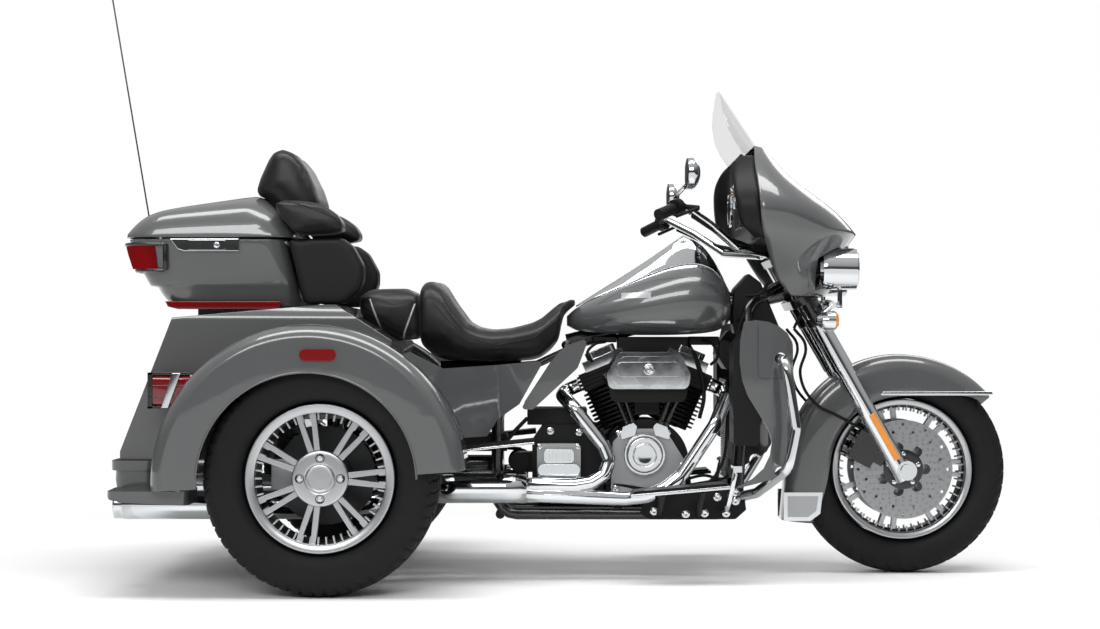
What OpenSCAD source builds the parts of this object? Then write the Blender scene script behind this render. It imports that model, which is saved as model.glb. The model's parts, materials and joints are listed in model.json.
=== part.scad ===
/* [Wheels] */
// Distance between the front and rear axles
wheelbase = 1693; // [1673:1:1713]
// Length from the antenna tip to the front of the front tyre
overall_length = 2778; // [2758:1:2798]
// Rolling radius of the front tyre
front_tyre_r = 315; // [309:1:321]
// Width of the front tyre
front_tyre_w = 126; // [114:1:130]
// Radius of the front tyre bead
front_rim_r = 212; // [206:1:218]
// Rolling radius of a rear tyre
rear_tyre_r = 325; // [319:1:331]
// Width of a rear tyre
rear_tyre_w = 205; // [195:1:209]
// Radius of a rear tyre bead
rear_rim_r = 205; // [198:1:210]
// Distance from the centre of a rear tyre out to the face of its fender
fender_reach = 138; // [134:1:148]
// Pairs of spokes in each wheel
spoke_pairs = 7; // [5:1:9]
// Radius of a front brake disc
front_disc_r = 149; // [140:1:155]

/* [Steering] */
// Rake of the steering head in degrees
rake = 26; // [25:0.5:27]
// Rake of the fork legs in degrees
leg_rake = 29.3; // [28.8:0.1:29.8]
// Trail on the ground
trail = 99; // [95:1:103]
// Distance of a fork leg from the middle plane
leg_y = 109; // [108:1:114]
// Radius of a lower fork leg
leg_r = 27; // [24:1:28]
// Radius of an upper fork cover
cover_r = 30; // [28:1:31]
// Thickness of the painted panels of the front end
panel = 7; // [5:1:8]

/* [Body] */
// Half width over the rear fenders
half_width = 688; // [684:1:698]
// Gap between a rear tyre and the side of the trunk
trunk_gap = 13.5; // [12:0.5:24]
// Wall of the trunk and of the rear fenders
wall = 8; // [6:1:10]
// Half width of the luggage box at its rim
box_half = 292; // [284:1:296]
// Wall of the luggage box and of its lid
box_wall = 7; // [5:1:9]
// Gap along the edges of the lid and of the trunk door
shut_gap = 5.5; // [5:0.5:7]
// Half width of the fuel tank
tank_half = 190; // [180:1:195]

/* [Engine] */
// Angle between the cylinders in degrees
v_angle = 45; // [44:1:48]
// Number of fins on a cylinder
fins = 10; // [8:1:12]
// Radius of a fin
fin_r = 96; // [92:1:98]
// Radius of an exhaust header pipe
header_r = 22; // [19:1:24]
// Radius of a muffler
muffler_r = 41; // [37:1:42]

/* [Hidden] */
eps = 0.4;
front_axle_x = overall_length / 2 - front_tyre_r;
rear_axle_x = front_axle_x - wheelbase;
front_axle = [front_axle_x, 0, front_tyre_r];
rear_axle = [rear_axle_x, 0, rear_tyre_r];
// the front end and the rear end are drawn round these axle places and move with their axles
drawn_front = [1074, 0, 315];
drawn_rear = [-619, 0, 325];
front_move = front_axle - drawn_front;
rear_move = rear_axle - drawn_rear;
tyre_y = half_width - fender_reach;
trunk_half = tyre_y - rear_tyre_w / 2 - trunk_gap;
steer_foot = [front_axle_x + trail, 0, 0];
steer_dir = [-sin(rake), 0, cos(rake)];
steer_fore = [cos(rake), 0, sin(rake)];
leg_dir = [-sin(leg_rake), 0, cos(leg_rake)];
leg_foot = front_axle + [-15.7, 0, 0];
crank = [297, 0, 340];
stem_r = 19;

function unit(v) = v / norm(v);
function spow(v, p) = sign(v) * pow(abs(v), p);
function steer_at(t, fore, y) = steer_foot + steer_dir * t + steer_fore * fore + [0, y, 0];

// corners of a flat outline rounded by arcs
function rounded(pts, r, steps = 5) = [for (i = [0:len(pts) - 1])
    let (p = pts[i],
         a = unit(pts[(i + len(pts) - 1) % len(pts)] - p),
         b = unit(pts[(i + 1) % len(pts)] - p),
         half = acos(max(-1, min(1, a * b))) / 2,
         cut = r / tan(half),
         c = p + unit(a + b) * r / sin(half),
         from = p + a * cut - c,
         turn = (cross([a.x, a.y, 0], [b.x, b.y, 0]).z < 0 ? 1 : -1) * (180 - 2 * half))
    each [for (k = [0:steps])
        let (w = turn * k / steps)
        c + [from.x * cos(w) - from.y * sin(w), from.x * sin(w) + from.y * cos(w)]]];

// closed rings of equal length joined to one solid; turned lists its faces the other way round
function back(pts) = [for (i = [len(pts) - 1:-1:0]) pts[i]];
module skin(rings, turned = false) {
    n = len(rings[0]);
    last = (len(rings) - 1) * n;
    sides = [for (k = [0:len(rings) - 2], i = [0:n - 1])
        let (j = (i + 1) % n, a = k * n, b = a + n)
        each [[a + i, b + j, a + j], [a + i, b + i, b + j]]];
    faces = concat([[for (i = [0:n - 1]) i]], sides, [[for (i = [n - 1:-1:0]) last + i]]);
    polyhedron([for (r = rings) each r], turned ? [for (f = faces) back(f)] : faces);
}

// a rounded rectangle in plan whose height runs from its rear edge to its front edge
function plate_ring(x0, x1, hw, z0, z1, c, steps = 4) = [for (q = [[x1 - c, hw - c, 0], [x0 + c, hw - c, 90],
        [x0 + c, c - hw, 180], [x1 - c, c - hw, 270]], k = [0:steps])
    let (a = q[2] + 90 * k / steps, x = q[0] + c * cos(a))
    [x, q[1] + c * sin(a), z0 + (z1 - z0) * (x - x0) / (x1 - x0)]];

// an oval section across the machine
function cross_ring(x, hw, z0, z1, p, n = 20) = [for (k = [0:n - 1])
    let (a = 360 * k / n)
    [x, hw * spow(cos(a), 2 / p), (z0 + z1) / 2 + (z1 - z0) / 2 * spow(sin(a), 2 / p)]];

// points of a bent path with round corners
function bends(pts, bend, steps = 4) = [pts[0], each [for (i = [1:len(pts) - 2])
    let (p = pts[i],
         u = unit(p - pts[i - 1]),
         v = unit(pts[i + 1] - p),
         half = acos(u * v) / 2,
         c = p + unit(v - u) * bend / cos(half),
         e = unit(p - u * bend * tan(half) - c))
    each [for (k = [0:steps])
        let (w = 2 * half * k / steps)
        c + e * bend * cos(w) + u * bend * sin(w)]], pts[len(pts) - 1]];
function carried(dirs, i, acc) = i == len(dirs) ? acc :
    carried(dirs, i + 1, concat(acc, [unit(acc[i - 1] - dirs[i] * (acc[i - 1] * dirs[i]))]));

// round bar or pipe along a bent path
module tube(pts, r, bend = 40, sides = 10) {
    path = bends(pts, bend);
    last = len(path) - 1;
    dirs = [for (i = [0:last])
        unit(i == 0 ? path[1] - path[0] : i == last ? path[last] - path[last - 1] :
            unit(path[i + 1] - path[i]) + unit(path[i] - path[i - 1]))];
    up = abs(dirs[0].z) > 0.9 ? [1, 0, 0] : [0, 0, 1];
    ns = carried(dirs, 1, [unit(cross(dirs[0], up))]);
    skin([for (i = [0:last])
        let (b = cross(dirs[i], ns[i]))
        [for (k = [0:sides - 1]) path[i] + (ns[i] * cos(360 * k / sides) + b * sin(360 * k / sides)) * r]]);
}

module rod(a, b, r) {
    d = unit(b - a);
    s = unit(cross(d, abs(d.z) > 0.9 ? [1, 0, 0] : [0, 0, 1]));
    t = cross(d, s);
    multmatrix([[s.x, t.x, d.x, a.x], [s.y, t.y, d.y, a.y], [s.z, t.z, d.z, a.z]])
        cylinder(r = r, h = norm(b - a), $fn = 40);
}

// side outline (x, z) carried across from y0 to y1
module side(outline, y0, y1) translate([0, y1, 0]) rotate([90, 0, 0]) linear_extrude(y1 - y0) polygon(outline);
// plan outline (x, y) carried up from z0 to z1
module plan(outline, z0, z1) translate([0, 0, z0]) linear_extrude(z1 - z0) polygon(outline);
// front outline (y, z) carried along from x0 to x1
module front(outline, x0, x1) translate([x0, 0, 0]) rotate([90, 0, 90]) linear_extrude(x1 - x0) polygon(outline);
module box(x0, x1, y0, y1, z0, z1) translate([x0, y0, z0]) cube([x1 - x0, y1 - y0, z1 - z0]);
module both() for (s = [-1, 1]) scale([1, s, 1]) children();
module about_y(p) translate(p) rotate([90, 0, 0]) children();
module pin_y(x, z, r, y0, y1) translate([x, y1, z]) rotate([90, 0, 0]) cylinder(r = r, h = y1 - y0, $fn = 48);
module pin_x(y, z, r, x0, x1) translate([x0, y, z]) rotate([0, 90, 0]) cylinder(r = r, h = x1 - x0, $fn = 48);
module turned_x(p, outline) translate(p) rotate([0, 90, 0]) rotate_extrude($fn = 64) polygon(outline);

module frame() color("#1b1b1c") difference() {
    union() {
        rod(steer_at(935, 0, 0), steer_at(1045, 0, 0), 36);
        rod(steer_at(958, -26, 0), [60, 0, 699], 25);
        for (s = [-1, 1]) tube([steer_at(988, -24, s * 10), [604 + front_move.x, s * 64, 806], [596, s * 112, 610], [566, s * 130, 185],
            [-150, s * 130, 185], [-150, s * 130, 470], [-90, s * 110, 610], [-439.6 + rear_move.x, s * 110, 610]], 16, 60);
        for (x = [-140, 540]) rod([x, -125, 185], [x, 125, 185], 14);
        rod([58, -100, 690], [58, 100, 690], 14);
        for (s = [-1, 1]) rod([54, s * 90, 671], [-76, s * 110, 611], 11);
        box(-320, -80, -98, 98, 590, 642.4);
    }
    rod(steer_at(900, 0, 0), steer_at(1080, 0, 0), stem_r + 0.5);
}

module engine_case() color("#222324") {
    pin_y(crank.x, crank.z, 127.6, -100, 100);
    box(crank.x - 120, crank.x + 130, -95, 95, 216, crank.z);
    for (x = [200, 390]) box(x, x + 24, -112, 112, 201.4, 217);
}

// one cylinder with round fins and a square head
module finned() {
    base = 128;
    pitch = 132 / fins;
    translate([0, 0, base]) cylinder(r = 52, h = 134, $fn = 64);
    for (i = [1:fins - 1]) translate([0, 0, base + i * pitch]) cylinder(r = fin_r, h = pitch * 0.45, $fn = 64);
    translate([0, 0, base + 134]) linear_extrude(52) square([176, 150], center = true);
    for (k = [0:3]) translate([0, 0, base + 140 + k * 12]) linear_extrude(5) square([190, 164], center = true);
}
// the two cylinders of the vee, cut flat where they face each other
module cylinders() color("#1d1d1e") for (a = [-1, 1]) intersection() {
    translate(crank) rotate([0, a * v_angle / 2, 0]) finned();
    translate([crank.x + a * 217, 0, crank.z + 300]) cube([400, 400, 700], center = true);
}

module rocker_covers() color("#d8dadc") for (a = [-1, 1]) translate(crank) rotate([0, a * v_angle / 2, 0]) {
    translate([0, 0, 314 + eps]) linear_extrude(30) square([128, 148], center = true);
    translate([0, 0, 344]) linear_extrude(22) polygon(rounded([[-46, -68], [46, -68], [46, 68], [-46, 68]], 18));
}

module engine_covers() color("#d8dadc") {
    side(rounded([[190, 250], [300, 238], [410, 262], [420, 330], [372, 408], [352, 440], [232, 440], [196, 400]], 16), -128, -100 - eps);
    pin_y(290, 364, 64, -146, -128);
    pin_y(290, 364, 52, -158, -146);
    side(rounded([[-30, 290], [100, 290], [100, 396], [-30, 396]], 14), -132, -98 - eps);
    side(rounded([[-16, 304], [86, 304], [86, 382], [-16, 382]], 14), -140, -132);
}

module air_cleaner_base() color("#18181a") {
    side(rounded([[190, 520], [410, 520], [424, 600], [392, 662], [214, 662], [178, 600]], 22), -170, -150);
    pin_y(crank.x, 598, 16.5, -151, 30);
}
module air_cleaner_cover() color("#dcdee0") {
    side(rounded([[182, 560], [418, 560], [424, 604], [392, 669], [214, 669], [176, 604]], 20), -196, -170 - eps);
    side(rounded([[196, 572], [404, 572], [408, 604], [382, 656], [224, 656], [190, 604]], 18), -210, -196);
    pin_y(297, 612, 44, -214, -210);
}

module gearbox() color("#232425") {
    side(rounded([[-45, 225], [168.6, 225], [168.6, 420], [120, 452], [-10, 452], [-45, 400]], 12), -98, 98);
    box(-84, -44, -40, 40, 305, 365);
    pin_y(-84, 335, 30, -48, 48);
}

module primary_cover() color("#d8dadc") {
    for (c = [[300, 330, 104], [80, 345, 112]]) pin_y(c[0], c[1], c[2], 100 + eps, 176);
    side([[80, 234], [300, 227], [300, 433], [80, 456]], 100 + eps, 175);
    pin_y(80, 345, 70, 176, 192);
    pin_y(300, 330, 40, 176, 186);
}

module exhaust() color("#c9cbcd") {
    c = [-60, -236, 270];
    tube([[98.5, -40, 569.4], [56, -40, 551.6], [46, -120, 538], [76, -212, 508], [165, -216, 395], [184, -218, 350],
        [168, -224, 310], [130, -230, 286], [76, -233, 278], [-70, -236, 280]], header_r, 32);
    tube([[495.5, -40, 569.4], [534, -40, 553.4], [534, -130, 534], [494, -216, 455], [394, -220, 306], [346, -222, 268],
        [290, -226, 246], [226, -230, 240], [-70, -238, 252]], header_r, 32);
    both() {
        pin_x(-236, 270, muffler_r + 2, -330 + rear_move.x, -60);
        tube([[-328 + rear_move.x, -236, 270], [-400 + rear_move.x, -246, 268], [-500 + rear_move.x, -368, 236], [-560 + rear_move.x, -375, 234]], 30, 50);
        pin_x(-375, 234, muffler_r, -1205 + rear_move.x, -556 + rear_move.x);
        pin_x(-375, 234, muffler_r - 2, -1233 + rear_move.x, -1204 + rear_move.x);
    }
    rod([-240, -236, 246], [-240, 236, 246], 18);
}

// columns: x, share of the half width, bottom, top
TANK = [[60, 0.15, 748, 778], [88, 0.37, 728, 806], [150, 0.6, 718, 838], [221, 0.78, 712, 868], [330, 0.95, 708, 914],
    [415, 1, 708, 941], [475, 0.98, 712, 938], [520, 0.87, 722, 910], [545, 0.66, 745, 872], [556, 0.5, 765, 850]];
function tunnel_z(x) = 699 + (x - 60) * 0.222 + 30;
function tank_ring(t) = let (hw = t[1] * tank_half, m = (t[2] + t[3]) / 2, h = (t[3] - t[2]) / 2,
        w = min(38, hw * 0.4), low = m - h * spow(sin(60), 0.8), top = max(low + 2, tunnel_z(t[0])))
    concat([for (a = [-60:15:240]) [t[0], hw * spow(cos(a), 0.8), m + h * spow(sin(a), 0.8)]],
        [[t[0], -w, low + 0.6], [t[0], -w, top], [t[0], w, top], [t[0], w, low + 0.6]]);
module fuel_tank() color("#6c6e70") skin([for (t = TANK) tank_ring(t)]);
function tank_top(t, y) = let (hw = t[1] * tank_half, m = (t[2] + t[3]) / 2, h = (t[3] - t[2]) / 2)
    m + h * pow(1 - pow(abs(y) / hw, 2.5), 0.4);

// columns: row of the tank table, half width, height over the tank
CONSOLE = [[1, 22, 4], [2, 44, 12], [3, 56, 26], [4, 60, 52], [5, 58, 86], [6, 54, 64], [7, 44, 22], [8, 28, 6]];
module tank_console() color("#d8dadc") skin([for (c = CONSOLE)
    let (t = TANK[c[0]])
    concat([for (k = [0:8]) let (y = c[1] * (1 - k / 4)) [t[0], y, tank_top(t, y) + 0.6 + c[2] * pow(sin(180 * k / 8), 0.6) + (k % 8 == 0 ? 1.5 : 0)]],
        [for (k = [0:8]) let (y = c[1] * (k / 4 - 1)) [t[0], y, tank_top(t, y) + 0.6]])]);

// columns: x, half width, bottom, top
SEAT = [[84, 40, 815, 838], [66, 66, 802, 836], [48, 90, 784, 826], [41, 104, 754, 818], [34, 114, 710, 812],
    [11, 128, 677, 792], [-16, 144, 654, 768], [-45, 155, 648, 754],
    [-107, 178, 644, 738], [-160, 188, 643, 733], [-203, 192, 643, 741], [-235, 194, 644, 759], [-278, 194, 646, 819],
    [-305, 190, 648, 867], [-337, 184, 652, 891], [-364, 178, 668, 888], [-378, 172, 682, 870]];
module rider_seat() color("#151516") skin([for (i = [len(SEAT) - 1:-1:0]) cross_ring(SEAT[i][0], SEAT[i][1], SEAT[i][2], SEAT[i][3], 3.4)]);
PILLION = [[-562, 150, 784.6, 830], [-556, 178, 777.6, 846], [-524, 186, 757.6, 854], [-480, 188, 729.6, 856],
    [-430, 188, 700.6, 857], [-400, 185, 699, 857], [-384, 178, 706, 850]];
module passenger_seat() color("#151516") translate([rear_move.x, 0, 0]) skin([for (p = PILLION) cross_ring(p[0], p[1], p[2], p[3], 4.5)]);

module side_covers() color("#6c6e70") both() {
    side(rounded([[113, 708], [53, 685], [21, 653], [-79, 500], [-42, 500], [90, 622], [116, 690]], 8), -210, -198);
    pin_y(60, 687, 9, -199, -100.5);
}

// side outline of the trunk in the drawn rear frame, grown outward by g
function trunk_outline(g) = [[-1208 - g, 365 - g], [-1208 - g, 389], [-1062 - g * 0.93, 768 + g], [-605, 808 + g], [-514, 750 + g],
    [-440 + g, 703 + g], [-440 + g, 480 - g], [-752, 480 - g], [-772, 365 - g]];
function trunk_front(h, top) = rounded([[-h, 300], [h, 300], [h, top], [-h, top]], 46);
module trunk_shell(g) intersection() {
    side(trunk_outline(g), -trunk_half - 5, trunk_half + 5);
    front(trunk_front(trunk_half + g, 806 + g), -1300, -400);
}
// the door leans with the rear face of the trunk; t runs along the face, d inward
door_foot = [-1208, 0, 392];
door_lean = atan2(1208 - 1062, 768 - 389);
door_h = 318;
door_half = 372;
module on_door() translate(door_foot) rotate([0, door_lean, 0]) children();
module trunk_body() color("#6c6e70") translate(rear_move) {
    difference() {
        trunk_shell(0);
        trunk_shell(-wall);
        on_door() front(rounded([[-door_half - shut_gap, 6], [door_half + shut_gap, 6],
            [door_half + shut_gap, door_h + shut_gap], [-door_half - shut_gap, door_h + shut_gap]], 34), -30, 40);
    }
    on_door() for (y = [-300, 300]) {
        rod([-12, y - 24, -2], [-12, y + 24, -2], 4);
        for (s = [-1, 1]) box(-19, 7, y + s * 22 - 4, y + s * 22 + 4, -9, 4);
    }
}
module trunk_door() color("#6c6e70") translate(rear_move) on_door() {
    front(rounded([[-door_half, 6 + shut_gap], [door_half, 6 + shut_gap], [door_half, door_h], [-door_half, door_h]], 30), -2, 12);
    for (y = [-300, 300]) difference() {
        union() {
            rod([-12, y - 12, -2], [-12, y + 12, -2], 8.5);
            box(-17, -1, y - 12, y + 12, 3, 60);
        }
        rod([-12, y - 30, -2], [-12, y + 30, -2], 4.3);
    }
}

arch = [-650, 0, 317];
module rear_fenders() color("#6c6e70") translate(rear_move) both() about_y(arch + [0, -trunk_half - eps, 0]) {
    w = half_width - trunk_half - eps;
    rotate([0, 0, 4.4]) rotate_extrude(angle = 178.8, $fn = 96) polygon(concat(
        [[430, 0]], [for (a = [0:15:90]) [390 + 40 * cos(a), w - 60 + 60 * sin(a)]], [[296, w], [296, w - wall]],
        [for (a = [90:-15:0]) [390 - wall + 40 * cos(a), w - 60 - wall + 60 * sin(a)]], [[430 - wall, 0]]));
}

WING = [[-4, 206], [-60, 236], [-130, 300], [-200, 390], [-260, 480], [-310, 556], [-360, 610], [-430, 640]];
module body_wings() color("#6c6e70") translate([rear_move.x, 0, rear_move.z]) both() difference() {
    union() {
        intersection() {
            side([[-420, 650], [-376, 672], [-289, 624], [-147, 632], [-25, 642], [-15, 634], [-81, 517], [-142, 476],
                [-172, 428], [-240, 428], [-330, 500]], -660, -190);
            plan(concat([for (p = WING) [p.x, -p.y]], [for (i = [len(WING) - 1:-1:0]) [WING[i].x - 14, -WING[i].y + 8]]), 400, 700);
        }
        plan([[-30, -212], [-60, -231], [-130, -295], [-200, -385], [-260, -475], [-310, -548], [-420, -548], [-420, -200], [-40, -200]], 606, 616);
    }
    about_y(arch) cylinder(r = 430.6, h = 1600, center = true, $fn = 96);
    box(-445, -400, -trunk_half - 1, -100, 400, 700);
}

module rear_valance() color("#6c6e70") translate(rear_move) {
    plan(rounded([[-1231, -466], [-1094, -466], [-1094, 466], [-1231, 466]], 40), 337, 364.6);
    intersection() {
        union() {
            plan(rounded([[-1221, -460], [-1098, -460], [-1098, 460], [-1221, 460]], 38), 288, 338);
            both() plan(rounded([[-1200, -640], [-980, -640], [-980, -450], [-1212, -450]], 30), 250, 291);
        }
        side([[-1222, 345], [-1220, 312], [-1212, 287], [-1194, 269], [-1162, 261], [-975, 252], [-975, 345]], -700, 700);
    }
}

module rear_axle_housing() color("#202122") translate(rear_axle) {
    pin_y(0, 0, 40, -tyre_y + 112, tyre_y - 112);
    pin_y(0, 0, 96, -46, 46);
    pin_y(0, 0, 21.5, -tyre_y + 30, tyre_y - 30);
    both() box(-150, 40, -tyre_y + 112, -tyre_y + 120, -34, 34);
}

module rear_suspension() color("#202122") {
    rod([-150, -113.6, 330], [-150, 113.6, 330], 18);
    for (s = [-1, 1]) {
        rod([-166, s * 86, 330], rear_axle + [46, s * 190, 0], 20);
        translate(rear_axle) box(40 + eps, 60, min(s * 170, s * 210), max(s * 170, s * 210), -36, 36);
        rod(rear_axle + [0, s * 250, 40 + eps], rear_axle + [0, s * 250, 155 - eps], 24);
    }
}

module belt_drive() color("#121213") {
    a = [-84, 335];
    b = [rear_axle.x, rear_axle.z];
    ra = 34;
    rb = 100;
    d = norm(b - a);
    lean = atan2(b.y - a.y, b.x - a.x);
    tilt = asin((rb - ra) / d);
    pin_y(a.x, a.y, ra + 2, 51, 83);
    difference() {
        union() {
            pin_y(b.x, b.y, rb + 2, 51, 83);
            pin_y(b.x, b.y, 60, 46 + eps, 53);
        }
        pin_y(b.x, b.y, 40 + eps, 0, 100);
    }
    for (s = [-1, 1]) translate([a.x, 82, a.y]) rotate([90, 0, 0]) rotate([0, 0, lean + s * tilt])
        linear_extrude(30) translate([0, s * ra - 5]) square([sqrt(d * d - (rb - ra) * (rb - ra)), 10]);
    pin_y(a.x, a.y, 12, 48 + eps, 53);
}

module rear_calipers() color("#2a2b2c") translate(rear_axle) both() difference() {
    box(-150, -88, -tyre_y + 40, -tyre_y + 112 - eps, -40, 48);
    pin_y(0, 0, 150, -tyre_y + 62, -tyre_y + 80);
}

module luggage_rack() color("#202122") translate(rear_move)
    side([[-1040, 770.6], [-1040, 799.6], [-742, 799.6], [-742, 797.4]], -150, 150);

// columns: height, rear x, front x, share of the half width
BOX = [[800, -1098, -712, 0.82], [820, -1125, -716, 0.88], [858, -1146, -727, 0.93], [864, -1168, -729, 0.95],
    [908, -1192, -740, 0.98], [984, -1224, -758, 1], [998, -1226, -762, 1]];
function box_ring(b, g) = plate_ring(b[1] - g, b[2] + g, b[3] * box_half + g, b[0], b[0], 62 + g);
hinge_y = box_half + 18;
hinge_z = 1001;
module luggage_box() color("#6c6e70") translate(rear_move) {
    skin(concat([for (b = BOX) box_ring(b, 0)], [for (i = [6:-1:1]) box_ring(BOX[i], -box_wall)],
        [box_ring([809, -1112, -714, 0.84], -box_wall)]));
    for (x = [-1110, -870]) {
        box(x, x + 12, box_half - 2, hinge_y + 6, hinge_z - 30, hinge_z - 3.4);
        box(x, x + 12, hinge_y - 6, hinge_y + 6, hinge_z - 5, hinge_z + 5);
    }
    pin_x(hinge_y, hinge_z, 3, -1109, -859);
}
// columns: height at rear, height at front, rear x, front x, share of the half width
LID = [[1004, 1004, -1238, -736, 1.015], [1014, 1018, -1238, -738, 1.015], [1048, 1064, -1210, -772, 0.99],
    [1074, 1102, -1180, -812, 0.92], [1090, 1125, -1140, -838, 0.77], [1100, 1138, -1085, -862, 0.5]];
function lid_ring(l, g, dz) = plate_ring(l[2] - g, l[3] + g, l[4] * box_half + g, l[0] - dz, l[1] - dz, 84 + g);
module box_lid() color("#6c6e70") translate(rear_move) {
    skin(concat([for (i = [4:-1:1]) lid_ring(LID[i], -box_wall, box_wall)], [lid_ring(LID[0], -box_wall, 0)],
        [for (l = LID) lid_ring(l, 0, 0)]));
    difference() {
        union() {
            pin_x(hinge_y, hinge_z, 7, -1090, -880);
            box(-1090, -880, box_half + 1, hinge_y, hinge_z + 3.5, hinge_z + 6.5);
        }
        pin_x(hinge_y, hinge_z, 3.3, -1200, -800);
    }
}

// soft block with a side outline, thinner at its two ends
module cushion(outline, y0, y1, c) {
    m = (y0 + y1) / 2;
    h = (y1 - y0) / 2;
    skin([for (k = [[1, 0.72], [0.94, 0.9], [0.8, 1], [-0.8, 1], [-0.94, 0.9], [-1, 0.72]])
        [for (p = outline) [c.x + (p.x - c.x) * k[1], m + h * k[0], c.y + (p.y - c.y) * k[1]]]]);
}
module backrest() color("#151516") translate(rear_move) {
    cushion([[-729.6, 1022.4], [-683, 1040], [-683, 1119], [-698, 1165], [-729, 1227], [-760, 1265], [-794, 1280], [-822, 1268],
        [-876, 1150], [-861.4, 1139.6], [-837.6, 1130.4]], -165, 165, [-760, 1150]);
    both() cushion([[-734.2, 1013], [-592, 1018], [-588, 1040], [-605, 1068], [-647, 1097], [-706, 1108], [-790, 1108],
        [-792.6, 1096.6]], -314, -195, [-690, 1066]);
}

module speaker_pods() color("#18181a") translate(rear_move) both()
    side(rounded([[-756, 998], [-600, 1004], [-566, 980], [-534, 922], [-534, 880], [-548, 848], [-590, 810], [-708, 810]], 10), -288, -198);
module back_pad() color("#151516") translate(rear_move)
    side(rounded([[-760.4, 996], [-676, 1002], [-642, 960], [-640, 880], [-656, 862], [-727, 862]], 8), -197.4, 197.4);

// corner lamp of the box, columns as in BOX
module rear_lamps() color("#7d1416") translate(rear_move) {
    both() difference() {
        intersection() {
            plan(rounded([[-1232, -box_half - 9], [-1110, -box_half - 9], [-1110, -120], [-1232, -120]], 60), 910, 980);
            side([[-1232, 980], [-1203, 910], [-1100, 910], [-1100, 980]], -400, 0);
        }
        skin([for (b = BOX) box_ring(b, 0.6)]);
        box(-1300, -1100, -122, 0, 900, 990);
    }
    both() difference() {
        front(rounded([[-trunk_half - 126, 519], [-trunk_half - eps, 519], [-trunk_half - eps, 609], [-trunk_half - 126, 609]], 16),
            -1100, -960);
        about_y(arch) cylinder(r = 430.6, h = 1600, center = true, $fn = 96);
    }
    both() front(rounded([[-half_width - 7, 649], [-half_width - eps, 649], [-half_width - eps, 677], [-half_width - 7, 677]], 2), -666, -571);
}

module antenna() color("#121213") translate(rear_move) {
    tip = [2.4 - overall_length / 2 - rear_move.x, 235, 1802];
    foot = [-1231, 235, 890];
    rod(foot, tip, 2.5);
    rod(foot - unit(tip - foot) * 20, foot + unit(tip - foot) * 40, 7);
    box(-1234, -1179.6, 226, 244, 872, 888);
}

LOWER = [[720, -246], [714, -290], [692, -330], [644, -352], [540, -356]];
// outline of the panel seen from the side, round its top and down its waisted front
LOWER_SIDE = [[566, 757], [600, 761], [635, 757], [668, 744], [694, 724], [711, 700], [720, 672], [722.6, 640], [721, 439],
    [716, 390], [704, 350], [680, 325], [640, 303], [590, 289], [540, 278], [590, 306], [622, 335], [640, 372], [646, 410],
    [636, 446], [606, 495], [575, 545], [560, 590], [553, 640], [554, 700]];
module fairing_lowers() color("#6c6e70") both() difference() {
    intersection() {
        side(LOWER_SIDE, -400, -150);
        plan(concat(LOWER, [[540, -348], [642, -344], [685, -324], [706, -286], [711, -246]]), 200, 800);
    }
    pin_y(672.9, 650.6, 17.6, -400, -300);
    rod(GUARD[1], GUARD[2] + (GUARD[2] - GUARD[1]) * 0.3, 22);
}
module lower_ducts() color("#18181a") both() side(rounded([[536, 400], [612, 400], [612, 736], [572, 736], [536, 690]], 12), -344.6, -216);

module engine_guard() color("#d8dadc") both() tube(GUARD, 16, 44);
GUARD = [[574, -156, 240], [616, -206, 254], [690, -374, 336], [712, -376, 450], [682, -376, 650], [646, -230, 652], [601, -121, 655]];

module footboards() color("#2a2b2c") both() {
    translate([381, -330, 276]) rotate([0, -5, 0]) {
        box(-142, 142, -58, 58, -8, 0);
        box(-134, 134, -52, 52, -0.5, 7);
    }
    for (x = [334, 450]) rod([x, -147.8, 186], [x, -318, 270 + (x - 381) * 0.087 - 5], 9);
    translate([-132, -340, 404]) rotate([0, -6, 0]) box(-96, 96, -42, 42, -8, 8);
    rod([-140, -146.3, 392], [-140, -310, 398], 10);
}

module foot_controls() color("#d8dadc") {
    both() tube([[520, -145.6, 196], [528, -238, 212], [552, -248, 324]], 8, 24, 8);
    box(540, 566, -290, -222, 320, 338);
    rod([553, 226, 322], [553, 300, 322], 11);
}

module fork_legs() color("#d8dadc") both() difference() {
    union() {
        rod(leg_foot + [0, -leg_y, 0] - leg_dir * 30, leg_foot + [0, -leg_y, 0] + leg_dir * 352, leg_r);
        rod(leg_foot + [0, -leg_y, 0] + leg_dir * 350, leg_foot + [0, -leg_y, 0] + leg_dir * 735, cover_r);
        pin_y(front_axle.x, front_axle.z, 29, -leg_y - 28, -leg_y + 25);
        for (t = [250, 310]) rod(leg_foot + [0, -leg_y, 0] + leg_dir * t, leg_foot + [0, -fender_half - 0.5, 0] + leg_dir * t, 11);
    }
    pin_y(front_axle.x, front_axle.z, 12.8, -200, 0);
}

module fork_crown() color("#1b1b1c") {
    difference() {
        for (t = [[905, 932], [1048, 1073]]) translate(steer_at(t[0], 0, 0)) rotate([0, -rake, 0])
            linear_extrude(t[1] - t[0]) polygon(rounded([[-42, -146], [42, -146], [42, 146], [-42, 146]], 38));
        both() rod(leg_foot + [0, -leg_y, 0] + leg_dir * 400, leg_foot + [0, -leg_y, 0] + leg_dir * 900, cover_r + 0.3);
    }
    rod(steer_at(906, 0, 0), steer_at(1072, 0, 0), stem_r);
}

module front_axle_shaft() color("#c9cbcd") {
    pin_y(front_axle.x, front_axle.z, 12.5, -leg_y - 30, leg_y + 30);
    both() pin_y(front_axle.x, front_axle.z, 20, -leg_y - 36, -leg_y - 28 - eps);
}

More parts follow.
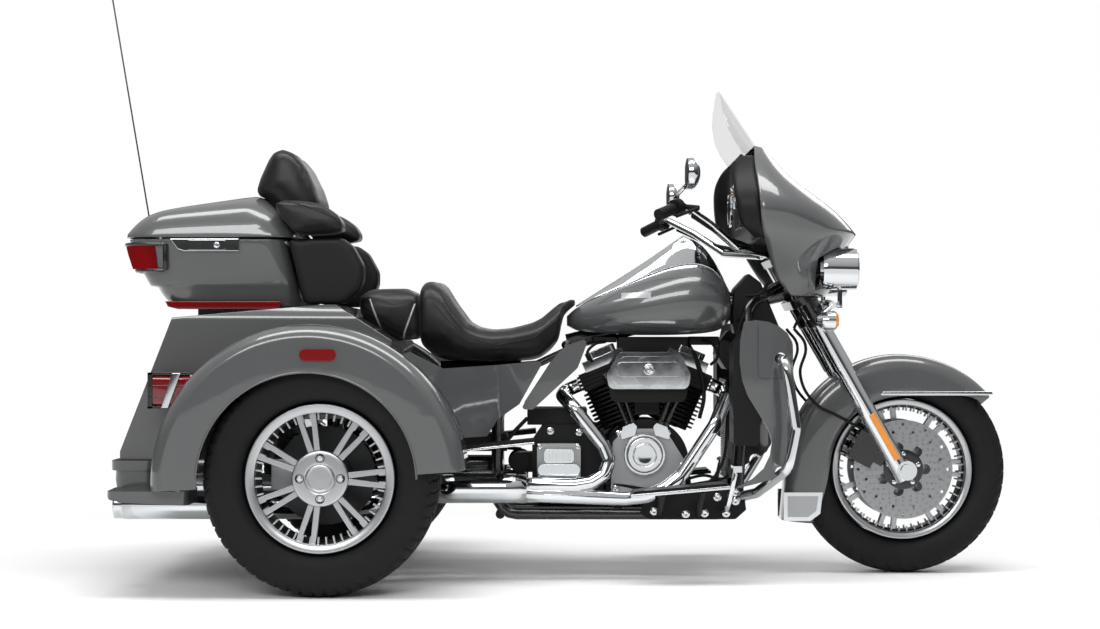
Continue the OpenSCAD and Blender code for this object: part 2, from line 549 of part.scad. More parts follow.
// front fender: a deep gutter that runs round the wheel and then straight down behind it
fender_r = front_tyre_r + 35;
fender_half = 76;
function fender_ring(a, drop, low) = let (s = 44, t = 4, c = fender_r - s,
        arc = [for (k = [0:30:90]) [c + s * sin(k), fender_half - s + s * cos(k)]],
        arc_in = [for (k = [0:30:90]) [c + (s - t) * sin(k), fender_half - s + (s - t) * cos(k)]],
        half = concat([[low, fender_half]], arc),
        half_in = concat([[low + 1, fender_half - t]], arc_in),
        ring = concat([for (p = half) [p.x, -p.y]], [for (i = [4:-1:0]) half[i]],
            half_in, [for (i = [4:-1:0]) [half_in[i].x, -half_in[i].y]]))
    [for (p = ring) front_axle + [p.x * cos(a), p.y, p.x * sin(a)] + drop * [-sin(a), 0, cos(a)]];
module front_fender() color("#6c6e70") skin(concat(
    [for (a = [40, 46, 54, 64, 76, 90, 100, 110, 120, 130, 140, 150, 160, 168, 175]) fender_ring(a, 0, a < 90 ? min(fender_r - 12, 222 / sin(a)) : 222)],
    [for (d = [[60, 226], [120, 236], [186, 262]]) fender_ring(175, d[0], d[1])]), true);

module front_calipers() color("#2a2b2c") translate(front_axle) both() difference() {
    union() {
        rotate([0, 28, 0]) box(-172, -96, -100, -52, -46, 46);
        rotate([0, 28, 0]) box(-98, -68, -100, -82, -24, 24);
    }
    pin_y(0, 0, 156, -76, -61);
    rod([-15.7, -leg_y, 0] - leg_dir * 200, [-15.7, -leg_y, 0] + leg_dir * 400, leg_r + eps);
    pin_y(0, 0, 29 + eps, -200, 0);
}

// columns: height, front x, edge x, half width
FAIRING = [[836, 846, 723, 184], [860, 866, 697, 194], [900, 874, 668, 226], [950, 884, 645, 292], [1000, 920, 626, 350],
    [1022, 938, 617, 368], [1060, 905, 612, 385], [1100, 862, 610, 388], [1150, 788, 607, 362], [1196, 726, 603, 324],
    [1240, 690, 604, 274], [1278, 664, 612, 206]];
function fairing_arc(f, g, n = 16) = [for (k = [0:n])
    let (a = -90 + 180 * k / n)
    [f[2] + g / 5 + (f[1] - f[2] - 1.2 * g) * spow(cos(a), 0.9), (f[3] - g) * spow(sin(a), 0.9), f[0]]];
LAMPS = [[804, -175, 915, 61.5, 110], [828, 0, 928, 90, 80], [804, 175, 915, 61.5, 110]];
module fairing_outer() color("#6c6e70") translate(front_move) difference() {
    skin([for (f = FAIRING) concat(fairing_arc(f, 0), back(fairing_arc(f, panel)))], true);
    for (l = LAMPS) pin_x(l[1], l[2], l[3] + 0.6, 796, 1000);
}
function edge_x(z) = lookup(z, [for (f = FAIRING) [f[0], f[2]]]);
function edge_y(z) = lookup(z, [for (f = FAIRING) [f[0], f[3]]]);
// columns: height, rear x
DASH = [[1000, 600], [1022, 575], [1043, 552], [1100, 542], [1150, 537], [1196, 535], [1240, 556], [1252, 570]];
module fairing_inner() color("#18181a") translate(front_move) skin([for (d = DASH)
    let (x = edge_x(d[0]) - 0.9, w = edge_y(d[0]), r = d[1], m = max(r + 4, x - 24))
    [[x, -w + 1, d[0]], [x, w - 1, d[0]], [r, w - 20, d[0]], [r + 2, w - 42, d[0]], [m, w - 62, d[0]], [m, -w + 62, d[0]], [r + 2, -w + 42, d[0]], [r, -w + 20, d[0]]]]);

// columns: height, middle x, edge x, half width
// outline of one half of the screen, seen from the front
SCREEN = [[236, 1252.5], [237, 1290], [228, 1330], [194, 1380], [150, 1415], [90, 1445], [30, 1461]];
screen_r = 450;
module windshield() color("#b9c2c8", 0.4) translate(front_move) intersection() {
    front(concat(SCREEN, [for (p = back(SCREEN)) [-p.x, p.y]]), 400, 800);
    translate([662, 0, 1252.5]) rotate([0, -33.4, 0]) translate([-screen_r, 0, -100]) difference() {
        cylinder(r = screen_r, h = 500, $fn = 128);
        translate([0, 0, -1]) cylinder(r = screen_r - 4.5, h = 502, $fn = 128);
    }
}

module headlamps() color("#d8dadc") translate(front_move) for (l = LAMPS)
    turned_x([l[0], l[1], l[2]], [[0, 0], [l[3] * 0.8, 0], [l[3] * 0.97, 10], [l[3], 24], [l[3], l[4]], [l[3] - 5, l[4] + 4], [l[3] - 9, l[4]], [l[3] - 9, 54], [l[3] * 0.55, 14], [0, 8]]);
module lamp_lenses() color("#dfe7ea", 0.5) translate(front_move) for (l = LAMPS)
    turned_x([l[0], l[1], l[2]], [[0, l[4] - 4], [l[3] - 9 - eps, l[4] - 10], [l[3] - 9 - eps, l[4] - 4], [l[3] * 0.5, l[4] + 3], [0, l[4] + 5]]);

module lamp_bar() color("#d8dadc") {
    translate(front_move) {
        tube([[842, -206, 808], [842, -120, 816], [842, 120, 816], [842, 206, 808]], 11, 60);
        for (y = [-175, 175]) rod([868, y, 800], [868, y, 852.8], 7);
        for (y = [-175, 175]) rod([840, y, 812], [872, y, 806], 7);
        for (y = [-200, 200]) {
            rod([842, y, 808], [812, y, 780], 8);
            turned_x([793, y, 762], [[0, 0], [14, 3], [25, 18], [29, 36], [29, 56], [26, 56], [26, 52], [0, 52]]);
        }
        box(814.4, 842, -50, 50, 806, 822);
    }
}
module signal_lenses() color("#c9701e") translate(front_move) for (y = [-200, 200])
    turned_x([793, y, 762], [[0, 52 + eps], [25.5, 52 + eps], [25.5, 60], [18, 66], [0, 69]]);

bar_mid = steer_at(1073 + 13.2, -28, 0);
GRIP_A = [389, -338, 1093] + front_move;
GRIP_B = [318, -420, 1060] + front_move;
HALF_BAR = [bar_mid + [0, -64, 0], [560, -200, 978] + front_move, [470, -274, 1046] + front_move, GRIP_A, GRIP_B];
module handlebar() color("#d8dadc") tube(concat(back(HALF_BAR), [for (p = HALF_BAR) [p.x, -p.y, p.z]]), 12.5, 30);
module hand_controls() color("#18181a") both() {
    d = unit(GRIP_B - GRIP_A);
    difference() {
        union() {
            rod(GRIP_A + d * 18, GRIP_B + d * 2, 17);
            rod(GRIP_A + d * 16, GRIP_A + d * 36, 25);
            rod(GRIP_A + d * 36, GRIP_A + d * 40, 22);
        }
        rod(GRIP_A - d * 60, GRIP_B + d * 0.4, 12.8);
    }
    rod(GRIP_A + d * 20 + [18, -4, 0], GRIP_A + d * 20 + [56, -34, -6], 8);
    rod(GRIP_A + d * 20 + [56, -34, -6], GRIP_B + [48, -30, -6], 5);
}
module mirrors() color("#1b1b1c") translate(front_move) both() {
    skin([for (m = [[393, 50, 34], [397, 66, 46], [412, 68, 47], [426, 52, 34], [433, 22, 14]]) [for (k = [0:15])
        [m[0], -440 + m[1] * spow(cos(22.5 * k), 0.8), 1176 + m[2] * spow(sin(22.5 * k), 0.8)]]]);
    rod([367, -363.5, 1114.5], [404, -400, 1152], 6);
}

function tyre_section(r, rim, w, p) = [for (a = [0:15:345])
    [(r + rim) / 2 + (r - rim) / 2 * spow(cos(a), 2 / p), w / 2 * spow(sin(a), 2 / p)]];
module tyre(r, rim, w, p) rotate([90, 0, 0]) rotate_extrude($fn = 128) polygon(tyre_section(r, rim, w, p));
// wheel with paired spokes; its face looks along -Y, the spokes lie between y0 and y1
module wheel(rim, w, hub, y0, y1) {
    r = rim - eps;
    h = w * 0.4;
    rotate([90, 0, 0]) rotate_extrude($fn = 128) polygon([[r, -h], [r, h], [r - 9, h], [r - 16, h - 10], [r - 26, h - 26],
        [r - 26, 26 - h], [r - 16, 10 - h], [r - 9, -h]]);
    translate([0, y1, 0]) rotate([90, 0, 0]) linear_extrude(y1 - y0) difference() {
        union() {
            circle(r = hub, $fn = 64);
            for (i = [0:spoke_pairs - 1], s = [-1, 1]) rotate(360 * i / spoke_pairs + s * 6.5) translate([hub - 6, -6.5]) square([r - 20 - hub + 6, 13]);
        }
        circle(r = hub - 22, $fn = 64);
    }
}
module front_wheel() color("#c4c6c8") translate(front_axle) {
    wheel(front_rim_r, front_tyre_w, 44, -14, 14);
    difference() {
        pin_y(0, 0, 36, -62, 62);
        pin_y(0, 0, 12.9, -100, 100);
    }
}
module front_discs() color("#b9bbbd") translate(front_axle) both() translate([0, -62 - eps, 0]) rotate([90, 0, 0]) linear_extrude(5) difference() {
    circle(r = front_disc_r, $fn = 96);
    circle(r = 24, $fn = 64);
    for (i = [0:6]) rotate(360 * i / 7) translate([66, 0]) circle(r = 16, $fn = 32);
    for (i = [0:23]) rotate(15 * i) translate([front_disc_r - (i % 2 == 0 ? 14 : 34), 0]) circle(r = 4.5, $fn = 24);
}
module front_tyre() color("#161617") translate(front_axle) tyre(front_tyre_r, front_rim_r, front_tyre_w, 2.5);
// right hand rear wheel about its own middle
module rear_wheel() {
    wheel(rear_rim_r, rear_tyre_w, 62, -66, -40);
    difference() {
        union() {
            pin_y(0, 0, 50, -60, 60);
            pin_y(0, 0, 138, 67, 75);
            pin_y(0, 0, 74, 40, 68);
        }
        pin_y(0, 0, 22, -34, 100);
    }
    for (i = [0:3]) rotate([0, 45 + 90 * i, 0]) pin_y(34, 0, 8, -76, -58);
}
module rear_wheel_right() color("#c4c6c8") translate(rear_axle + [0, -tyre_y, 0]) rear_wheel();
module rear_wheel_left() color("#c4c6c8") translate(rear_axle + [0, tyre_y, 0]) scale([1, -1, 1]) rear_wheel();
module rear_tyre_right() color("#161617") translate(rear_axle + [0, -tyre_y, 0]) tyre(rear_tyre_r, rear_rim_r, rear_tyre_w, 3.6);
module rear_tyre_left() color("#161617") translate(rear_axle + [0, tyre_y, 0]) tyre(rear_tyre_r, rear_rim_r, rear_tyre_w, 3.6);

frame();
engine_case();
cylinders();
rocker_covers();
engine_covers();
air_cleaner_base();
air_cleaner_cover();
gearbox();
primary_cover();
exhaust();
fuel_tank();
tank_console();
rider_seat();
passenger_seat();
side_covers();
trunk_body();
rear_fenders();
body_wings();
rear_valance();
rear_axle_housing();
rear_suspension();
belt_drive();
rear_calipers();
luggage_rack();
luggage_box();
speaker_pods();
back_pad();
rear_lamps();
antenna();
fairing_lowers();
lower_ducts();
engine_guard();
footboards();
foot_controls();
box_lid();
backrest();
trunk_door();
fork_legs();
fork_crown();
front_axle_shaft();
front_fender();
front_calipers();
fairing_outer();
fairing_inner();
windshield();
headlamps();
lamp_lenses();
lamp_bar();
signal_lenses();
handlebar();
hand_controls();
mirrors();
front_wheel();
front_discs();
front_tyre();
rear_wheel_right();
rear_tyre_right();
rear_wheel_left();
rear_tyre_left();
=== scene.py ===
# %% [markdown]
# A motorized touring trike: a grey three-wheeler with a V-twin engine, a fairing, two seats and a
# luggage box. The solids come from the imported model, which is a fixed frame here. This lesson dresses
# them: smooth panels, swollen leather, rubber with tread, chrome, lamps and the small things. Sizes
# are in millimetres, X forward, Y to the left and Z up, and turn to metres where a mesh is made.

import json
import math

import bmesh
import bpy
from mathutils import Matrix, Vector
from mathutils.bvhtree import BVHTree

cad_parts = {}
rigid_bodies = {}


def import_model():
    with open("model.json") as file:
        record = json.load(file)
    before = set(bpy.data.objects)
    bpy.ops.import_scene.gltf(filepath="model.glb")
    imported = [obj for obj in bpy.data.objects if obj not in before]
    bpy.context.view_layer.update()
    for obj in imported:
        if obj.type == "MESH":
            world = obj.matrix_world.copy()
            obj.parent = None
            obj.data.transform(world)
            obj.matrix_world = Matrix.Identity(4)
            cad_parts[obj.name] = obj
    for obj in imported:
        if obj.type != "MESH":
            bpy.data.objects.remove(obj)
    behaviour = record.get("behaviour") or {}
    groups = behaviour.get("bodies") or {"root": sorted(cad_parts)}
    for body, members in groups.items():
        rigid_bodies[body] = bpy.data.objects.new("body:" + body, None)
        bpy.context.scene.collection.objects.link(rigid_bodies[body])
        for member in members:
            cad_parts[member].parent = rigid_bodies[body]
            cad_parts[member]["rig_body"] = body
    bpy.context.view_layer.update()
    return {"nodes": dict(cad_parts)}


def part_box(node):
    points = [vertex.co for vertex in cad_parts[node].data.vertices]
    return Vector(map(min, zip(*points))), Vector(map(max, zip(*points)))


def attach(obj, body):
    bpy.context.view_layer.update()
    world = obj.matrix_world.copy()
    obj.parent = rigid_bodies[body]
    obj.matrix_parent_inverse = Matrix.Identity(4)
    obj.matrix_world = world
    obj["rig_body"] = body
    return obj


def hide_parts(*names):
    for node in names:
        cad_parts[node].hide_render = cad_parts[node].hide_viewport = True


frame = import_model()
nodes = frame["nodes"]
MM = 0.001
SIDES = ((-1, "right"), (1, "left"))

# %% [markdown]
# Every colour is written as the sRGB hex value that an eye-dropper gives. Shaders work in linear
# light, so one function converts it. A second small function adds a shader node with its settings
# and links, which keeps each material short enough to read.

# %% Colour and node helpers


def linear(code):
    parts = [int(code[i:i + 2], 16) / 255 for i in (1, 3, 5)]
    return [c / 12.92 if c < 0.04045 else ((c + 0.055) / 1.055) ** 2.4 for c in parts] + [1.0]


def add(tree, kind, inputs=None, **settings):
    made = tree.nodes.new(kind)
    for name, value in settings.items():
        setattr(made, name, value)
    for socket, value in (inputs or {}).items():
        if isinstance(value, bpy.types.NodeSocket):
            tree.links.new(value, made.inputs[socket])
        else:
            made.inputs[socket].default_value = value
    return made


def new_material(name, colour, **sockets):
    made = bpy.data.materials.new(name)
    made.use_nodes = True
    shader = made.node_tree.nodes["Principled BSDF"]
    shader.inputs["Base Color"].default_value = linear(colour)
    for socket, value in sockets.items():
        shader.inputs[socket.replace("_", " ")].default_value = value
    made.diffuse_color = linear(colour)
    return made, made.node_tree, shader


print("mid grey in linear light", round(linear("#808080")[0], 3))

# %% [markdown]
# Patterns are laid in object space at a real size, so grain keeps its scale on small and large pieces.
# A pattern then drives the roughness, which breaks up a reflection, or the height of the surface,
# which catches light on every bump. Three short functions do this for all the finishes below.

# %% Pattern, gloss and grain


def pattern(tree, kind, size_mm, inputs=None, **settings):
    where = add(tree, "ShaderNodeTexCoord")
    sockets = {"Vector": where.outputs["Object"], "Scale": 1 / (size_mm * MM), **(inputs or {})}
    return add(tree, kind, sockets, **settings)


def uneven_gloss(tree, shader, height, smoothest, dullest, low=0.0, high=1.0):
    spread = add(tree, "ShaderNodeMapRange", {"Value": height, "From Min": low, "From Max": high,
                                              "To Min": smoothest, "To Max": dullest})
    tree.links.new(spread.outputs["Result"], shader.inputs["Roughness"])


def raised_grain(tree, shader, height, strength, depth_mm, socket="Normal"):
    bump = add(tree, "ShaderNodeBump", {"Height": height, "Strength": strength, "Distance": depth_mm * MM})
    tree.links.new(bump.outputs["Normal"], shader.inputs[socket])


print("finish helpers ready")

# %% [markdown]
# Body paint is a grey base under clear lacquer. The lacquer makes the sharp highlights, so it is a
# coat over a duller base. Sprayed lacquer is never quite flat: a swell some 9 mm long and very low
# makes reflections waver, as orange peel does.

# %% Paint
# The flake in the base is finer than a tenth of a millimetre and is drawn at 0.9 mm, so that it shows.
grey_paint, tree, shader = new_material(
    "lacquered_grey_paint", "#4b4c4d", Roughness=0.32, Coat_Weight=1.0, Coat_Roughness=0.03)
peel = pattern(tree, "ShaderNodeTexNoise", 9, {"Detail": 1.0})
raised_grain(tree, shader, peel.outputs["Fac"], 0.02, 1.0, "Coat Normal")
flake = pattern(tree, "ShaderNodeTexNoise", 0.9, {"Detail": 2.0})
uneven_gloss(tree, shader, flake.outputs["Fac"], 0.27, 0.38, 0.3, 0.7)

# Foil under lacquer: a pale band that is half paint and half metal to the eye.
stripe_silver, tree, shader = new_material(
    "silver_stripe_foil", "#a6a8aa", Metallic=0.4, Roughness=0.3, Coat_Weight=1.0, Coat_Roughness=0.04)

# A thin line of enamel under the same lacquer, only a little darker than the panel.
pin_line, tree, shader = new_material(
    "dark_pinstripe_paint", "#35373a", Roughness=0.3, Coat_Weight=1.0, Coat_Roughness=0.03)
print("paint", grey_paint.name, stripe_silver.name, pin_line.name)

# %% [markdown]
# Chrome plate mirrors the studio. Its roughness is broken by faint polishing haze, so that it reads
# as plated steel. Bare aluminium is duller: wheel faces are cut on a lathe, brake discs are ground
# steel and engine covers are cast, and each keeps a finer or coarser unevenness from its making.

# %% Bright metals
# Plated and polished: a mirror with soft clouds about 30 mm wide.
chrome, tree, shader = new_material("chrome_plate", "#d5d8da", Metallic=1.0, Roughness=0.06)
haze = pattern(tree, "ShaderNodeTexNoise", 30, {"Detail": 4.0})
uneven_gloss(tree, shader, haze.outputs["Fac"], 0.03, 0.12)

# Cut by a tool: satin, with small changes of gloss.
turned_aluminium, tree, shader = new_material("turned_aluminium", "#b4b6b8", Metallic=1.0, Roughness=0.3)
cut = pattern(tree, "ShaderNodeTexNoise", 4, {"Detail": 6.0, "Roughness": 0.7})
uneven_gloss(tree, shader, cut.outputs["Fac"], 0.2, 0.42)

# Sprayed on a casting: dark and half glossy, with the casting's dimples showing through. The dark is partly
# the real paint beside the cut faces and partly painted shade for the barrel and the hollows between the
# spokes.
wheel_paint_and_shade, tree, shader = new_material("dark_wheel_paint_and_painted_shade", "#303133", Metallic=0.5, Roughness=0.38)
dimples = pattern(tree, "ShaderNodeTexNoise", 2, {"Detail": 3.0})
raised_grain(tree, shader, dimples.outputs["Fac"], 0.15, 0.4)

# Ground by a stone and polished by the pads: grey satin.
ground_steel, tree, shader = new_material("ground_disc_steel", "#a0a2a4", Metallic=1.0, Roughness=0.34)
grind = pattern(tree, "ShaderNodeTexNoise", 2.5, {"Detail": 5.0})
uneven_gloss(tree, shader, grind.outputs["Fac"], 0.25, 0.45)

# Cast in a mould: soft highlights on a grainy skin.
cast_aluminium, tree, shader = new_material("cast_aluminium", "#9fa1a3", Metallic=1.0, Roughness=0.42)
grain = pattern(tree, "ShaderNodeTexNoise", 1.6, {"Detail": 3.0})
raised_grain(tree, shader, grain.outputs["Fac"], 0.25, 0.4)
print("metals", [m.name for m in (chrome, turned_aluminium, wheel_paint_and_shade, ground_steel, cast_aluminium)])

# %% [markdown]
# The engine and frame are black: wrinkle enamel on castings, gloss enamel on tubes. Moulded plastic
# has a leather-like grain of nearly two millimetres from its mould. Each gets its bump at that size.

# %% Black finishes
# Dipped and baked: a gloss black with broad dusty clouds.
black_enamel, tree, shader = new_material(
    "gloss_black_enamel", "#0a0a0b", Roughness=0.25, Coat_Weight=0.6, Coat_Roughness=0.06)
dust = pattern(tree, "ShaderNodeTexNoise", 40, {"Detail": 4.0})
uneven_gloss(tree, shader, dust.outputs["Fac"], 0.18, 0.36)

# Enamel that shrinks as it bakes: a dull black that scatters each highlight.
wrinkle_enamel, tree, shader = new_material(
    "wrinkle_black_enamel", "#0d0d0e", Roughness=0.5, Specular_IOR_Level=0.22)
wrinkle = pattern(tree, "ShaderNodeTexVoronoi", 1.4, feature="SMOOTH_F1")
raised_grain(tree, shader, wrinkle.outputs["Distance"], 0.3, 0.5)

# Moulded against an etched tool: black and half dull, with a fine pebble.
moulded_plastic, tree, shader = new_material(
    "moulded_black_plastic", "#0e0e0f", Roughness=0.45, Specular_IOR_Level=0.22)
etched = pattern(tree, "ShaderNodeTexVoronoi", 1.8, feature="SMOOTH_F1")
raised_grain(tree, shader, etched.outputs["Distance"], 0.2, 0.4)

# Extruded hose and belt: matt black, chalky in places.
soft_rubber, tree, shader = new_material(
    "soft_black_rubber", "#0e0e0e", Roughness=0.62, Specular_IOR_Level=0.22)
chalk = pattern(tree, "ShaderNodeTexNoise", 12, {"Detail": 5.0})
uneven_gloss(tree, shader, chalk.outputs["Fac"], 0.5, 0.75)
print("black", [m.name for m in (black_enamel, wrinkle_enamel, moulded_plastic, soft_rubber)])

# %% [markdown]
# Tyre rubber is carbon black, matt and a little cloudy, so two near blacks are mixed by a soft noise.
# Seat leather is black with a pebble grain some 2.2 mm across and a soft sheen where it is stretched.

# %% Rubber and leather
MIX_COLOUR_A, MIX_COLOUR_B, MIX_COLOUR_OUT = 6, 7, 2

# Pressed in a mould: no clear reflection, only a faint grey on what faces the light.
tyre_rubber, tree, shader = new_material(
    "tyre_rubber", "#19191a", Roughness=0.66, Specular_IOR_Level=0.22)
mottle = pattern(tree, "ShaderNodeTexNoise", 25, {"Detail": 6.0})
shade = add(tree, "ShaderNodeMix", {0: mottle.outputs["Fac"], MIX_COLOUR_A: linear("#0c0c0d"),
                                    MIX_COLOUR_B: linear("#171717")}, data_type="RGBA")
tree.links.new(shade.outputs[MIX_COLOUR_OUT], shader.inputs["Base Color"])
fine = pattern(tree, "ShaderNodeTexNoise", 1.5, {"Detail": 2.0})
raised_grain(tree, shader, fine.outputs["Fac"], 0.2, 0.4)

# Tanned and embossed: half gloss, with pebbles and broad creases some 55 mm apart.
leather, tree, shader = new_material("black_seat_leather", "#0c0c0d", Specular_IOR_Level=0.35,
                                     Roughness=0.42, Sheen_Weight=0.08, Sheen_Roughness=0.4)
pebble = pattern(tree, "ShaderNodeTexVoronoi", 2.2, feature="SMOOTH_F1")
crease = pattern(tree, "ShaderNodeTexNoise", 55, {"Detail": 3.0})
hide = add(tree, "ShaderNodeMath",
           {0: pebble.outputs["Distance"], 1: crease.outputs["Fac"]}, operation="ADD")
raised_grain(tree, shader, hide.outputs[0], 0.35, 0.6)
uneven_gloss(tree, shader, crease.outputs["Fac"], 0.34, 0.5)
print("soft", tyre_rubber.name, leather.name)

# %% [markdown]
# Lenses are moulded acrylic. A lamp that is off looks deep in its own colour, because light crosses
# the plastic twice; a coloured body under a hard gloss gives that and stays cheap. The screen is
# clear polycarbonate and has to be really clear, so most of it is a transparent shader.

# %% Lenses and screen
# Coloured acrylic: flutes inside the lens break its colour into bands.
red_lens, tree, shader = new_material(
    "red_acrylic_lens", "#740306", Roughness=0.12, Coat_Weight=1.0, Coat_Roughness=0.02)
flutes = pattern(tree, "ShaderNodeTexWave", 14, wave_type="BANDS", bands_direction="X")
raised_grain(tree, shader, flutes.outputs["Fac"], 0.25, 1.0)

amber_lens, tree, shader = new_material(
    "amber_acrylic_lens", "#e08a1c", Roughness=0.15, Coat_Weight=1.0, Coat_Roughness=0.02)
flutes = pattern(tree, "ShaderNodeTexWave", 12, wave_type="BANDS", bands_direction="Z")
raised_grain(tree, shader, flutes.outputs["Fac"], 0.25, 1.0)

# Pressed glass: clear, with broad flutes that bend what lies behind.
lamp_glass, tree, shader = new_material(
    "fluted_lamp_glass", "#e8ecee", Roughness=0.03, Transmission_Weight=1.0, IOR=1.5)
flutes = pattern(tree, "ShaderNodeTexWave", 40, wave_type="BANDS", bands_direction="Y")
raised_grain(tree, shader, flutes.outputs["Fac"], 0.15, 1.0)

# Formed sheet: a faint grey tint and a weak gloss, with marks from wiping.
SCREEN_TINT, SCREEN_GLOSS = "#f2f2f2", 0.03
screen_plastic, tree, shader = new_material("clear_polycarbonate", SCREEN_TINT, Roughness=0.02)
through = add(tree, "ShaderNodeBsdfTransparent", {"Color": linear(SCREEN_TINT)})
gloss = add(tree, "ShaderNodeBsdfGlossy")
wipe = pattern(tree, "ShaderNodeTexNoise", 60, {"Detail": 3.0})
uneven_gloss(tree, gloss, wipe.outputs["Fac"], 0.0, 0.06)
sheet = add(tree, "ShaderNodeMixShader",
            {0: SCREEN_GLOSS, 1: through.outputs["BSDF"], 2: gloss.outputs["BSDF"]})
tree.links.new(sheet.outputs["Shader"], tree.nodes["Material Output"].inputs["Surface"])
print("clear", [m.name for m in (red_lens, amber_lens, lamp_glass, screen_plastic)])

# %% [markdown]
# Exact solids keep their own mesh and only get a finish and softly broken edges: a Weld modifier
# closes the seams that the file format leaves between faces, and a small bevel catches the light, as
# every real edge does. Panels that are lofted in flat facets are copied instead: the triangles go
# back to four-sided faces, sharp edges are creased, and subdivision rounds what lies between them.

# %% Helpers that dress a solid
WELD_MM = 0.02
PANEL_LEVELS = 2
BROKEN_EDGE, PANEL_CREASE = math.radians(28), math.radians(40)


def break_edges(made, bevel_mm, segments, angle):
    edge = made.modifiers.new("edges", "BEVEL")
    edge.width = bevel_mm * MM
    edge.segments = segments
    edge.limit_method = "ANGLE"
    edge.angle_limit = angle


def set_finish(name, material, bevel_mm):
    solid = nodes[name]
    solid.data.materials.clear()
    solid.data.materials.append(material)
    solid.modifiers.new("weld", "WELD").merge_threshold = WELD_MM * MM
    if bevel_mm:
        break_edges(solid, bevel_mm, 2, BROKEN_EDGE)
    for face in solid.data.polygons:
        face.use_smooth = True
    solid.modifiers.new("shading", "WEIGHTED_NORMAL").keep_sharp = True


def joined_faces(name):
    mesh = bmesh.new()
    mesh.from_mesh(nodes[name].data)
    bmesh.ops.remove_doubles(mesh, verts=mesh.verts, dist=WELD_MM * MM)
    return mesh


def welded(name):
    mesh = joined_faces(name)
    bmesh.ops.dissolve_degenerate(mesh, edges=mesh.edges, dist=WELD_MM * MM / 2)
    bmesh.ops.join_triangles(mesh, faces=mesh.faces, angle_face_threshold=math.radians(50),
                             angle_shape_threshold=math.radians(70), cmp_sharp=False, cmp_uvs=False)
    return mesh


def show(name, mesh, materials, body):
    data = bpy.data.meshes.new(name)
    mesh.to_mesh(data)
    mesh.free()
    for material in materials:
        data.materials.append(material)
    made = bpy.data.objects.new(name, data)
    bpy.context.scene.collection.objects.link(made)
    for face in data.polygons:
        face.use_smooth = True
    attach(made, body)
    return made


def body_of(name):
    return nodes[name]["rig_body"]


def rounded_panel(name, material):
    mesh = welded(name)
    crease_layer = mesh.edges.layers.float.new("crease_edge")
    for edge in mesh.edges:
        if len(edge.link_faces) == 2 and edge.calc_face_angle(0) > PANEL_CREASE:
            edge[crease_layer] = 1.0
    made = show(name + "_panel", mesh, [material], body_of(name))
    smooth = made.modifiers.new("smooth", "SUBSURF")
    smooth.levels = smooth.render_levels = PANEL_LEVELS
    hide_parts(name)


print("dressing helpers ready")

# %% [markdown]
# Now each solid gets its finish. One table keeps the sorting in sight: painted panels, chrome,
# aluminium, black castings, plastic, rubber and lenses, each with the width of its broken edges in
# millimetres. Tyres, cushions, speaker pods and rear lamps are made anew further down.

# %% Finish of every solid
FINISH = {
    grey_paint: {"trunk_body": 6, "rear_fenders": 2, "body_wings": 1.5, "rear_valance": 3, "trunk_door": 4,
                 "side_covers": 2, "fairing_lowers": 2},
    chrome: {"rocker_covers": 3, "air_cleaner_cover": 3, "fork_legs": 1.5, "front_axle_shaft": 1,
             "headlamps": 1.5, "lamp_bar": 1, "foot_controls": 1},
    # The dark wheel paint is partly the real finish and partly painted shade inside the barrel and between
    # the spokes.
    wheel_paint_and_shade: {"front_wheel": 1.2, "rear_wheel_right": 1.2, "rear_wheel_left": 1.2},
    ground_steel: {"front_discs": 0.5},
    cast_aluminium: {"rear_calipers": 2, "engine_covers": 2},
    black_enamel: {"frame": 0, "front_calipers": 2, "rear_axle_housing": 2, "rear_suspension": 1,
                   "fork_crown": 2, "luggage_rack": 2, "antenna": 0.5, "primary_cover": 4},
    wrinkle_enamel: {"engine_case": 3, "cylinders": 0.8, "gearbox": 3, "air_cleaner_base": 2},
    moulded_plastic: {"lower_ducts": 4, "footboards": 2, "hand_controls": 1},
    soft_rubber: {"belt_drive": 1},
    amber_lens: {"signal_lenses": 1},
    lamp_glass: {"lamp_lenses": 0.5},
    screen_plastic: {"windshield": 0.8},
}
PANELS = {
    grey_paint: ("fuel_tank", "luggage_box", "box_lid", "front_fender", "fairing_outer"),
    moulded_plastic: ("fairing_inner",),
    chrome: ("tank_console", "mirrors", "exhaust", "engine_guard", "handlebar"),
}
for material, members in FINISH.items():
    for name, bevel_mm in members.items():
        set_finish(name, material, bevel_mm)
for material, members in PANELS.items():
    for name in members:
        rounded_panel(name, material)
print("dressed", sum(map(len, FINISH.values())), "solids and", sum(map(len, PANELS.values())), "panels")

# %% [markdown]
# New pieces need a few makers of their own: a body of revolution, an extruded plate, a screw and a bent
# tube. A plate takes its outline in the plane across its axis. Small metal pieces get the same broken
# edges as the solids.

# %% Makers of small pieces
PLATE_ORDER = {"x": (2, 0, 1), "y": (0, 2, 1)}
SMALL_EDGE = math.radians(35)


def turned(mesh, centre, axis, profile, steps=48, index=0, caps=True):
    turn = Vector(axis).to_track_quat("Z", "Y").to_matrix()
    rings = []
    for radius, along in profile:
        ring = []
        for k in range(steps):
            a = 2 * math.pi * k / steps
            spot = turn @ Vector((radius * math.cos(a), radius * math.sin(a), along)) + Vector(centre)
            ring.append(mesh.verts.new(spot * MM))
        rings.append(ring)
    for low, high in zip(rings, rings[1:]):
        for k in range(steps):
            j = (k + 1) % steps
            mesh.faces.new((low[k], low[j], high[j], high[k])).material_index = index
    for end in (list(reversed(rings[0])), rings[-1]) if caps else ():
        mesh.faces.new(end).material_index = index


def plate(mesh, outline, axis, start, end, index=0):
    low, high = ([mesh.verts.new(Vector([(*p, depth)[i] for i in PLATE_ORDER[axis]]) * MM) for p in outline]
                 for depth in (start, end))
    count = len(outline)
    faces = [mesh.faces.new(low), mesh.faces.new(list(reversed(high)))]
    for k in range(count):
        j = (k + 1) % count
        faces.append(mesh.faces.new((low[j], low[k], high[k], high[j])))
    for face in faces:
        face.material_index = index


